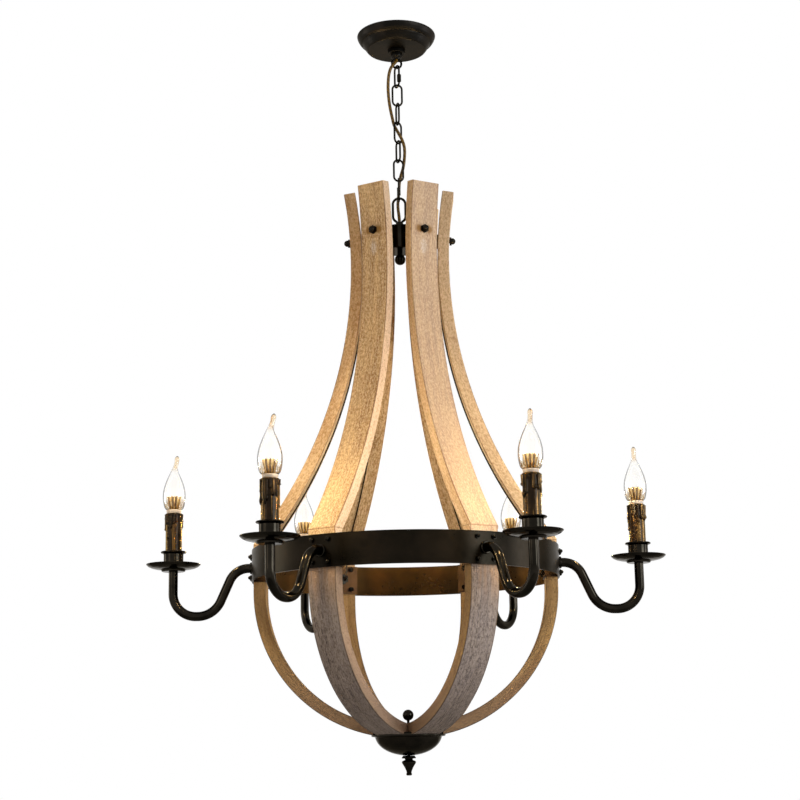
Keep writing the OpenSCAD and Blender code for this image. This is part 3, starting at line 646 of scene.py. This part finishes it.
def spot(nodes, across, up, offset, reach):
    """A soft round mask round a point on the front of a stave."""
    side = nodes.math("SUBTRACT", across, offset)
    return nodes.fall(nodes.length(up, side), reach * 0.3, reach)


def bolt_marks(nodes, stave, z):
    """Brown marks on both sides of the top bolts."""
    across = nodes.math("ABSOLUTE", stave["Across"])
    return spot(nodes, across, nodes.math("SUBTRACT", z, BOLT_Z), offset=0.0085, reach=0.0095)


def scuffs(nodes, stave, z):
    """Pale scuffs under the top bolts, twice as tall as wide."""
    up = nodes.math("MULTIPLY", nodes.math("SUBTRACT", z, SCUFF_Z), 0.5)
    return spot(nodes, stave["Across"], up, offset=-0.001, reach=0.008)


def thin_line(nodes, value, place):
    """A soft line, about 2 mm wide, where the value is this place."""
    away = nodes.math("ABSOLUTE", nodes.math("SUBTRACT", value, place))
    return nodes.fall(away, 0.0003, 0.0012)


def arris(nodes, side):
    """A dark line along a stave's long edges."""
    return thin_line(nodes, side, STAVE_HALF - 0.0011)


def upper_wood(stave_frame, grain):
    """Golden tan wood with fine grain, paler and pinker on its edges, with painted sheen and light
    on some staves.
    """
    made, nodes, surface = material("upper_wood", Specular_IOR_Level=0.35)
    point = object_point(nodes)
    stave = nodes.use(stave_frame, Point=point, Centre_X=UPPER_BEND_X, Centre_Z=WAIST_Z,
                      Way=-1.0)
    masks = nodes.use(grain, Along=stave["Along"], Across=stave["Across"], Depth=stave["Radius"],
                      Number=stave["Number"], Coarseness=1.0)
    face = nodes.blend(masks["Bands"], colour(138, 98, 52), colour(202, 162, 110))
    face = tinted(nodes, face, masks["Fibres"], 0.4, (226, 190, 138))
    face = tinted(nodes, face, masks["Flecks"], 0.5, (240, 212, 172))
    face = tinted(nodes, face, masks["Pores"], 0.6, (116, 70, 34))
    # Painted sheen: the right front stave's face is taken paler and greyer for the right lamp's
    # sheen on it.
    face = tinted(nodes, face, on_stave(nodes, stave, -1.0), 0.42, (182, 157, 142))
    cut = nodes.blend(masks["Bands"], colour(190, 148, 98), colour(222, 184, 134))
    # Painted light and sheen: paler edges on the left front stave, greyer ones on the right stave.
    cut = tinted(nodes, cut, on_stave(nodes, stave, -2.0), 0.6, (236, 206, 178))
    cut = tinted(nodes, cut, on_stave(nodes, stave, 0.0), 0.5, (190, 166, 138))
    cut = tinted(nodes, cut, masks["Flecks"], 0.4, (240, 212, 180))
    cut = tinted(nodes, cut, masks["Pores"], 0.5, (134, 88, 50))
    side = nodes.math("ABSOLUTE", stave["Across"])
    edge = nodes.step(side, STAVE_HALF - 0.0013, STAVE_HALF - 0.0004)
    face = nodes.blend(edge, face, cut)
    arris_strength = between(nodes, masks["Bands"], 0.85, 0.35)
    face = tinted(nodes, face, arris(nodes, side), arris_strength, (104, 66, 34))
    z = nodes.apart(point)[2]
    face = tinted(nodes, face, thin_line(nodes, z, FOOT_LINE), 0.6, (120, 78, 40))
    face = tinted(nodes, face, bolt_marks(nodes, stave, z), 0.9, (136, 92, 32))
    scuff = nodes.math("MULTIPLY", scuffs(nodes, stave, z),
                       between(nodes, masks["Flecks"], 0.3, 1.0))
    face = tinted(nodes, face, scuff, 0.8, (206, 196, 186))
    nodes.join(face, surface.inputs["Base Color"])
    nodes.join(between(nodes, masks["Fibres"], 0.5, 0.7), surface.inputs["Roughness"])
    bump(nodes, surface, masks["Height"], 0.5, 0.0006)
    return made


def lower_wood(stave_frame, grain):
    """Weathered grey brown outside, bare tan wood on the edges and inside."""
    made, nodes, surface = material("lower_wood", Specular_IOR_Level=0.2)
    point = object_point(nodes)
    stave = nodes.use(stave_frame, Point=point, Centre_X=LOWER_BEND_X, Centre_Z=LOWER_BEND_Z,
                      Way=1.0)
    masks = nodes.use(grain, Along=stave["Along"], Across=stave["Across"], Depth=stave["Radius"],
                      Number=stave["Number"], Coarseness=1.3)
    z = nodes.apart(point)[2]
    under_ring = nodes.step(z, RING_Z - 0.096, RING_Z - 0.026)
    by_bowl = nodes.fall(z, RING_Z - 0.236, RING_Z - 0.106)
    weathered = nodes.blend(masks["Bands"], colour(108, 94, 88), colour(168, 151, 144))
    weathered = tinted(nodes, weathered, masks["Fibres"], 0.75, (196, 175, 158))
    weathered = tinted(nodes, weathered, masks["Flecks"], 0.45, (188, 168, 158))
    weathered = tinted(nodes, weathered, masks["Pores"], 0.5, (62, 48, 40))
    rubbed = nodes.math("MULTIPLY", under_ring, masks["Bands"])
    weathered = tinted(nodes, weathered, rubbed, 0.7, (190, 144, 100))
    weathered = tinted(nodes, weathered, by_bowl, 0.35, (72, 58, 50))
    bare = nodes.blend(masks["Bands"], colour(150, 112, 70), colour(190, 150, 98))
    # Painted light: the left front stave's bare edges and inside are taken paler and pinker.
    bare = tinted(nodes, bare, on_stave(nodes, stave, -2.0), 0.65, (200, 170, 150))
    bare = tinted(nodes, bare, masks["Pores"], 0.5, (104, 78, 54))
    bare = tinted(nodes, bare, by_bowl, 0.6, (168, 136, 112))
    side = nodes.math("ABSOLUTE", stave["Across"])
    edge = nodes.step(side, STAVE_HALF - 0.0013, STAVE_HALF - 0.0003)
    inside = nodes.fall(stave["Radius"], LOWER_OUTER - 0.0025, LOWER_OUTER - 0.0012)
    face = nodes.blend(nodes.math("MAXIMUM", edge, inside), weathered, bare)
    face = tinted(nodes, face, arris(nodes, side), 0.6, (60, 46, 36))
    nodes.join(face, surface.inputs["Base Color"])
    nodes.join(between(nodes, masks["Fibres"], 0.7, 0.88), surface.inputs["Roughness"])
    bump(nodes, surface, masks["Height"], 1.0, 0.001)
    return made


def clear_glass():
    """Thin clear glass, painted greyer where it is seen edge on in place of what it refracts there,
    that lets the lamp's light out.
    """
    made, nodes, surface = material(
        "bulb_clear", Roughness=0.02, IOR=1.45, Transmission_Weight=1.0)
    facing = nodes.add("LayerWeight")
    facing.inputs["Blend"].default_value = 0.5
    # Painted reflection: the glass is darkened where it is seen edge on, for the dark things it
    # would refract and reflect there.
    rim = nodes.step(facing.outputs["Facing"], 0.54, 0.76)
    z = nodes.apart(object_point(nodes))[2]
    tip = nodes.step(z, COLLAR_TOP + 0.058, COLLAR_TOP + 0.074)
    clear = nodes.blend(tip, (1, 0.995, 0.98, 1), (0.9, 0.72, 0.5, 1))
    streaks = nodes.noise(nodes.scaled(object_point(nodes), (700, 700, 25)), 1, 2, 0.5)
    low = nodes.fall(z, COLLAR_TOP + 0.006, COLLAR_TOP + 0.024)
    low = nodes.math("MULTIPLY", low, nodes.step(streaks, 0.47, 0.56))
    clear = nodes.blend(low, clear, (0.46, 0.3, 0.12, 1))
    nodes.join(nodes.blend(rim, clear, (0.03, 0.026, 0.022, 1)), surface.inputs["Base Color"])
    path = nodes.add("LightPath")
    open_air = nodes.add("BsdfTransparent")
    mix = nodes.add("MixShader")
    out = made.node_tree.nodes["Material Output"]
    nodes.join(path.outputs["Is Shadow Ray"], mix.inputs[0])
    nodes.join(surface.outputs[0], mix.inputs[1])
    nodes.join(open_air.outputs[0], mix.inputs[2])
    nodes.join(mix.outputs[0], out.inputs["Surface"])
    return made


def cord_cover():
    """Golden brown sheath over two twisted cores, patterned along the cord's own map."""
    made, nodes, surface = material("cord_cover", Specular_IOR_Level=0.2, Roughness=0.4)
    wrap = nodes.add("UVMap", uv_map="along").outputs[0]
    u, v, _ = nodes.apart(wrap)
    phase = nodes.math("ADD", u, nodes.math("MULTIPLY", v, CORD_TWISTS))
    lobe = nodes.math("ABSOLUTE", nodes.math("SINE", nodes.math("MULTIPLY", phase, 2 * math.pi)))
    tone = nodes.blend(nodes.step(lobe, 0.05, 0.8), colour(60, 43, 13), colour(114, 84, 28))
    nodes.join(tone, surface.inputs["Base Color"])
    bump(nodes, surface, lobe, 0.3, 0.0004)
    return made


def glowing_guide():
    """Fins that carry the light: brown and gold by turns, brighter towards their top."""
    made, nodes, surface = material("guide_plastic", Roughness=0.3, Specular_IOR_Level=0.08,
                                    Emission_Strength=1.0)
    z = nodes.apart(object_point(nodes))[2]
    high = nodes.step(z, COLLAR_TOP, COLLAR_TOP + 0.021)
    tone = nodes.add("Attribute", attribute_name="tone").outputs["Fac"]
    low_glow = nodes.blend(tone, colour(80, 56, 20), colour(140, 102, 42))
    high_glow = nodes.blend(tone, colour(132, 96, 40), colour(244, 210, 140))
    nodes.join(nodes.blend(tone, colour(14, 9, 4), colour(70, 50, 20)),
               surface.inputs["Base Color"])
    nodes.join(nodes.blend(high, low_glow, high_glow), surface.inputs["Emission Color"])
    return made


def build_materials():
    """The materials by the name of their slot."""
    stave_frame, grain, mottle = make_stave_frame(), make_grain(), make_mottle()
    zinc = cloudy("zinc_steel", mottle, colour(160, 158, 150), colour(200, 198, 190), 60,
                  (0.28, 0.46), Metallic=1.0)
    cap = cloudy("cap_metal", mottle, colour(176, 170, 156), colour(212, 206, 192), 70,
                 (0.22, 0.36), Metallic=1.0)
    wire = cloudy("wire_cover", mottle, colour(22, 15, 9), colour(40, 28, 17), 90, (0.4, 0.58),
                  Specular_IOR_Level=0.15)
    socket = cloudy("socket_plastic", mottle, colour(206, 198, 178), colour(224, 218, 202), 50,
                    (0.42, 0.58))
    # Painted light: a faint warm glow on the collar, for the lamp's light falling on it.
    collar = cloudy("collar_plastic", mottle, colour(196, 178, 162), colour(220, 204, 188), 60,
                    (0.3, 0.45), Emission_Strength=0.06, Emission_Color=colour(255, 214, 150))
    return {
        "dark_bronze": painted_metal("dark_bronze", mottle, colour(21, 20, 18), colour(34, 31, 28),
                                     22, (0.36, 0.45)),
        "black_steel": painted_metal("black_steel", mottle, colour(25, 23, 19), colour(41, 37, 31),
                                     30, (0.1, 0.18)),
        "ring_steel": ring_metal(mottle),
        "bracket_steel": painted_metal("bracket_steel", mottle, colour(34, 25, 17),
                                       colour(52, 39, 28), 24, (0.35, 0.5)),
        "sleeve_plastic": candle_wax(mottle),
        "zinc_steel": zinc,
        "cap_metal": cap,
        "wire_cover": wire,
        "socket_plastic": socket,
        "collar_plastic": collar,
        "cord_cover": cord_cover(),
        "upper_wood": upper_wood(stave_frame, grain),
        "lower_wood": lower_wood(stave_frame, grain),
        "guide_plastic": glowing_guide(),
        "bulb_clear": clear_glass(),
    }


def finish_cad_nodes(materials):
    """Give every CAD node the material of its slot."""
    slot_of = {s["node"]: s["material_slot"] for s in frame["record"]["subparts"]}
    for name, obj in frame["nodes"].items():
        obj.data.materials.clear()
        obj.data.materials.append(materials[slot_of[name]])


# ---------------------------------------------------------------- lamps


def guide_fins(material):
    """Flared cups of upright fins, one in each bulb, round a tapered core."""
    t = Shapes("guide_fins", Fins=18, Foot_Radius=0.0068, Top_Radius=0.0112, Height=0.0205,
               Thickness=0.0015, Core_Foot=0.0046, Core_Top=0.0066, Lamps=6,
               Lamp_Radius=CANDLE_R, Lamp_Height=COLLAR_TOP - 0.0001, Finish=material)
    given = t.given
    opening = 1.25  # how late the cup flares
    fin_start = 0.58  # where a fin starts, as a share of the cup's radius
    foot_share = 0.75  # a fin's thickness at its foot, as a share of its thickness half way up
    block = t.add("GeometryNodeMeshCube", {"Vertices X": 3, "Vertices Y": 2, "Vertices Z": 9,
                                           "Size": (1, 1, 1)}).outputs[0]
    place = t.add("GeometryNodeInputPosition").outputs[0]
    x, y, z = t.add("ShaderNodeSeparateXYZ", {0: place}).outputs
    high = t.math("ADD", z, 0.5)
    flare = t.math("POWER", high, opening)
    outer = t.math("MULTIPLY_ADD", flare,
                   t.math("SUBTRACT", given["Top Radius"], given["Foot Radius"]),
                   given["Foot Radius"])
    share = t.math("MULTIPLY_ADD", t.math("ADD", x, 0.5), 1 - fin_start, fin_start)
    wide = t.math("MULTIPLY_ADD", high, 2 * (1 - foot_share), foot_share)
    wide = t.math("MULTIPLY", wide, given["Thickness"])
    fin = t.place(block, t.vector(t.math("MULTIPLY", outer, share), t.math("MULTIPLY", y, wide),
                                  t.math("MULTIPLY", high, given["Height"])))
    circle = t.add("GeometryNodeMeshCircle", {"Vertices": given["Fins"], "Radius": 0.0}).outputs[0]
    index = t.add("GeometryNodeInputIndex").outputs[0]
    turn = t.math("MULTIPLY", index, t.math("DIVIDE", 2 * math.pi, given["Fins"]))
    fins = t.repeat(circle, fin, t.vector(0.0, 0.0, turn))
    tone = t.add("GeometryNodeStoreNamedAttribute", {
        "Geometry": fins, "Name": "tone", "Value": t.math("MODULO", index, 2.0)},
        data_type="FLOAT", domain="INSTANCE").outputs[0]
    core = t.add("GeometryNodeMeshCone", {
        "Vertices": 20, "Radius Top": given["Core Top"], "Radius Bottom": given["Core Foot"],
        "Depth": given["Height"]}).outputs[0]
    both = t.add("GeometryNodeJoinGeometry")
    t.tree.links.new(core, both.inputs[0])
    t.tree.links.new(tone, both.inputs[0])
    ring = t.add("GeometryNodeMeshCircle", {"Vertices": given["Lamps"],
                                            "Radius": given["Lamp Radius"]}).outputs[0]
    lifted = t.add("GeometryNodeTransform", {
        "Geometry": ring, "Translation": t.vector(0.0, 0.0, given["Lamp Height"])}).outputs[0]
    lamp_turn = t.math("MULTIPLY", index, t.math("DIVIDE", 2 * math.pi, given["Lamps"]))
    cups = t.repeat(lifted, both.outputs[0], t.vector(0.0, 0.0, lamp_turn))
    return t.finish(cups, smooth=False)


def wax_runs(material):
    """Runs of melted wax down the candle sleeves, each with a round drop at its end."""
    t = Shapes("wax_runs", Runs=11, Lamps=6, Sleeve_Radius=0.0125, Lamp_Radius=CANDLE_R,
               Top=SLEEVE_TOP, Shortest=0.007, Longest=0.036, Width=0.0023, Seed=4,
               Finish=material)
    given = t.given
    # Places on a run go from 0 at its top to 1 at its end.
    drop_stretch, drop_shift, drop_size = 5.2, -4.3, 1.25
    stem_taper, stem_top, stem_end = -0.35, 0.95, 0.9
    uneven, next_lamp = 0.22, 1.3  # in radians
    proud, below_top = 0.0002, 0.0012
    tube = t.add("GeometryNodeMeshCylinder", {"Vertices": 12, "Side Segments": 14, "Radius": 1.0,
                                              "Depth": 1.0}).outputs["Mesh"]
    place = t.add("GeometryNodeInputPosition").outputs[0]
    x, y, z = t.add("ShaderNodeSeparateXYZ", {0: place}).outputs
    down = t.math("SUBTRACT", 0.5, z)
    away = t.math("ABSOLUTE", t.math("MULTIPLY_ADD", down, drop_stretch, drop_shift))
    drop = t.math("POWER", t.math("SUBTRACT", 1.0, away), 0.5)
    drop = t.math("MULTIPLY", t.math("MAXIMUM", drop, 0.0), drop_size)
    stem = t.math("MULTIPLY", t.math("MULTIPLY_ADD", down, stem_taper, stem_top),
                  t.math("LESS_THAN", down, stem_end))
    girth = t.math("MULTIPLY", t.math("MAXIMUM", drop, stem), given["Width"])
    run = t.place(tube, t.vector(t.math("MULTIPLY", x, girth), t.math("MULTIPLY", y, girth),
                                 t.math("SUBTRACT", z, 0.5)))
    count = t.math("MULTIPLY", given["Runs"], given["Lamps"])
    line = t.add("GeometryNodeMeshLine", {"Count": count}).outputs[0]
    index = t.add("GeometryNodeInputIndex").outputs[0]
    lamp = t.math("FLOOR", t.math("DIVIDE", index, given["Runs"]))
    lamp_turn = t.math("MULTIPLY", lamp, t.math("DIVIDE", 2 * math.pi, given["Lamps"]))
    own = t.math("MODULO", index, given["Runs"])
    jitter = t.random(-uneven, uneven, given["Seed"])
    turn = t.math("MULTIPLY_ADD", own, t.math("DIVIDE", 2 * math.pi, given["Runs"]), jitter)
    turn = t.math("ADD", turn, t.math("MULTIPLY", lamp, next_lamp))
    out = t.math("ADD", given["Sleeve Radius"], proud)
    spot = t.vector(
        t.math("MULTIPLY_ADD", t.math("COSINE", turn), out,
               t.math("MULTIPLY", t.math("COSINE", lamp_turn), given["Lamp Radius"])),
        t.math("MULTIPLY_ADD", t.math("SINE", turn), out,
               t.math("MULTIPLY", t.math("SINE", lamp_turn), given["Lamp Radius"])),
        t.math("SUBTRACT", given["Top"], below_top))
    spots = t.place(line, spot)
    long = t.random(0.0, 1.0, t.math("ADD", given["Seed"], 7.0))
    length = t.math("MULTIPLY_ADD", t.math("POWER", long, 1.4),
                    t.math("SUBTRACT", given["Longest"], given["Shortest"]), given["Shortest"])
    wide = t.random(0.75, 1.25, t.math("ADD", given["Seed"], 3.0))
    runs = t.repeat(spots, run, t.vector(0.0, 0.0, turn), t.vector(wide, wide, length))
    return t.finish(runs, smooth=True)


def stave_wires(material):
    """Thin wires from the hub, along the inner face of each stave, into the arm's root."""
    wire, gap, leave = 0.0022, 0.0002, math.radians(36)
    run = UPPER_INNER + wire / 2 + gap
    t = Shapes("stave_wires", Wires=6, Thickness=wire, Bend_Radius=run, Finish=material)

    def line(start, end):
        node = t.add("GeometryNodeCurvePrimitiveLine")
        node.inputs["Start"].default_value = (start[0], 0, start[1])
        node.inputs["End"].default_value = (end[0], 0, end[1])
        return node.outputs[0]

    def arc(centre, radius, start, sweep, steps):
        curve = t.add("GeometryNodeCurveArc", {"Resolution": steps, "Radius": radius,
                                               "Start Angle": start, "Sweep Angle": sweep})
        return t.add("GeometryNodeTransform", {
            "Geometry": curve.outputs[0], "Translation": (centre[0], 0, centre[1]),
            "Rotation": (math.pi / 2, 0, 0)}).outputs[0]

    exit_x, exit_z, exit_bend = 0.0205, BOLT_Z - 0.0105, 0.0105
    waist = UPPER_BEND_X - run
    leave_x = UPPER_BEND_X - run * math.cos(leave)
    leave_z = WAIST_Z - run * math.sin(leave)
    down_x = 0.19755  # where the wire hangs behind the stave's foot
    turn = (down_x - leave_x) / (1 - math.cos(leave))
    turn_centre = (leave_x - turn * math.cos(leave), leave_z - turn * math.sin(leave))
    root_bend, root_length = 0.008, 0.006
    root_x, root_z = down_x + root_bend, RING_Z + root_bend
    lap, quarter = 0.0004, math.pi / 2
    route = [
        line((exit_x, exit_z), (waist - exit_bend + lap, exit_z)),
        arc((waist - exit_bend, exit_z - exit_bend), exit_bend, quarter, -quarter, steps=12),
        line((waist, exit_z - exit_bend + lap), (waist, WAIST_Z - lap)),
        arc((UPPER_BEND_X, WAIST_Z), t.given["Bend Radius"], math.pi, leave, steps=64),
        arc(turn_centre, turn, leave, -leave, steps=10),
        line((down_x, turn_centre[1] + lap), (down_x, root_z - lap)),
        arc((root_x, root_z), root_bend, math.pi, quarter, steps=12),
        line((root_x - lap, RING_Z), (root_x + root_length, RING_Z)),
    ]
    whole = t.add("GeometryNodeJoinGeometry")
    for curve in route:
        t.tree.links.new(curve, whole.inputs[0])
    round_wire = t.add("GeometryNodeCurvePrimitiveCircle", {
        "Resolution": 12, "Radius": t.math("MULTIPLY", t.given["Thickness"], 0.5)}).outputs[0]
    tube = t.add("GeometryNodeCurveToMesh", {
        "Curve": whole.outputs[0], "Profile Curve": round_wire, "Fill Caps": True}).outputs[0]
    index = t.add("GeometryNodeInputIndex").outputs[0]
    spots = t.add("GeometryNodeMeshLine", {"Count": t.given["Wires"],
                                           "Offset": (0, 0, 0)}).outputs[0]
    step = t.math("DIVIDE", 2 * math.pi, t.given["Wires"])
    around = t.vector(0.0, 0.0, t.math("MULTIPLY", index, step))
    return t.finish(t.repeat(spots, tube, around), smooth=True)


# Height above the collar and outer radius of the glass and its drawn-out tip, in millimetres.
GLASS_PROFILE = [(0, 11.4), (1, 13.2), (3, 14.6), (6, 15.6), (10, 16.4), (15, 17.2), (20, 17.5),
                 (25, 17.4), (30, 16.9), (35, 15.8), (40, 14.4), (45, 12.5), (50, 10.5), (55, 8.2),
                 (58, 6.8), (61, 5.4), (64, 4.4), (67, 3.7), (71, 3.3), (75, 3.2), (78, 3.6),
                 (80.5, 3.8), (82.5, 3.3), (84, 2.1), (84.6, 0.9)]
# For each lamp, the way its tip bends and how far, in degrees.
TIP_TURN = [85, 200, 20, 5, 10, 40]
TIP_LEAN = [4, 12, 10, 13, 17, 7]


def flame_glasses(material):
    """Six blown bulbs with an inner and an outer skin and a bent tip."""
    wall, rows, sides, smoothings = 0.0008, 86, 40, 6
    # Heights above the collar: where the tip leans, where it bends back, where the hollow ends.
    lean_from, lean_over = 0.055, 0.010
    back_from, back_over, back = 0.071, 0.008, math.radians(7)
    hollow_end, closed, closing = 0.070, 0.071, 0.008
    table = np.array(GLASS_PROFILE) / 1000
    heights = np.linspace(0, table[-1, 0], rows)
    radii = np.interp(heights, table[:, 0], table[:, 1])
    for _ in range(smoothings):
        radii[1:-1] = (radii[:-2] + 2 * radii[1:-1] + radii[2:]) / 4
    parts = []
    for n, angle in enumerate(LAMP_ANGLES):
        foot = np.array([CANDLE_R * math.cos(angle), CANDLE_R * math.sin(angle), COLLAR_TOP])
        lean = math.radians(TIP_LEAN[n]) * np.clip((heights - lean_from) / lean_over, 0, 1) ** 1.4
        lean -= back * np.clip((heights - back_from) / back_over, 0, 1)
        side = np.concatenate([[0], np.cumsum(np.sin(lean[1:]) * np.diff(heights))])
        way = math.radians(TIP_TURN[n])
        path = foot + np.stack([side * math.cos(way), side * math.sin(way), heights], 1)
        low = heights < hollow_end
        taper = np.clip((closed - heights[low]) / closing, 0.02, 1) ** 0.5
        inner = carried_rings(path[low], (radii[low] - wall) * taper, sides)
        inner[0] += (0, 0, wall)
        parts.append(lofted(carried_rings(path, radii, sides)))
        points, faces = lofted(inner)
        parts.append((points, [face[::-1] for face in faces]))
    points, faces = joined(parts)
    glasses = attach(piece("flame_glasses", points, faces, material), "chandelier")
    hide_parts("bulb_glass")


def lamp_light(name, place, power, colour, size):
    """A small round light that shows neither to the camera nor through the glass."""
    data = bpy.data.lights.new(name, "POINT")
    data.energy = power
    data.color = colour
    data.shadow_soft_size = size
    lamp = bpy.data.objects.new(name, data)
    scene.collection.objects.link(lamp)
    lamp.location = place
    lamp.visible_camera = False
    lamp.visible_transmission = False
    return lamp


def lamp_glow():
    """Over each guide a warm light for the wood and a gold one for the glints on the metal."""
    above_collar = 0.034
    for n, angle in enumerate(LAMP_ANGLES):
        place = (CANDLE_R * math.cos(angle), CANDLE_R * math.sin(angle), COLLAR_TOP + above_collar)
        glow = lamp_light(f"lamp_glow_{n + 1}", place, 1.9, (1, 0.86, 0.62), 0.012)
        glow.visible_glossy = False
        glint = lamp_light(f"lamp_glint_{n + 1}", place, 9.0, (1, 0.72, 0.36), 0.02)
        glint.visible_diffuse = False


def dress_lamps(materials):
    """Put the fins, wax runs, wires, glasses and lights on the frame."""
    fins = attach(guide_fins(materials["guide_plastic"]), "chandelier")
    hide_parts("light_guides")
    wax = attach(wax_runs(materials["sleeve_plastic"]), "chandelier")
    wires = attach(stave_wires(materials["wire_cover"]), "chandelier")
    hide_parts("stave_wires")
    flame_glasses(materials["bulb_clear"])
    lamp_glow()


place_camera()
studio()
materials = build_materials()
supply_cord(materials["cord_cover"])
finish_cad_nodes(materials)
dress_lamps(materials)
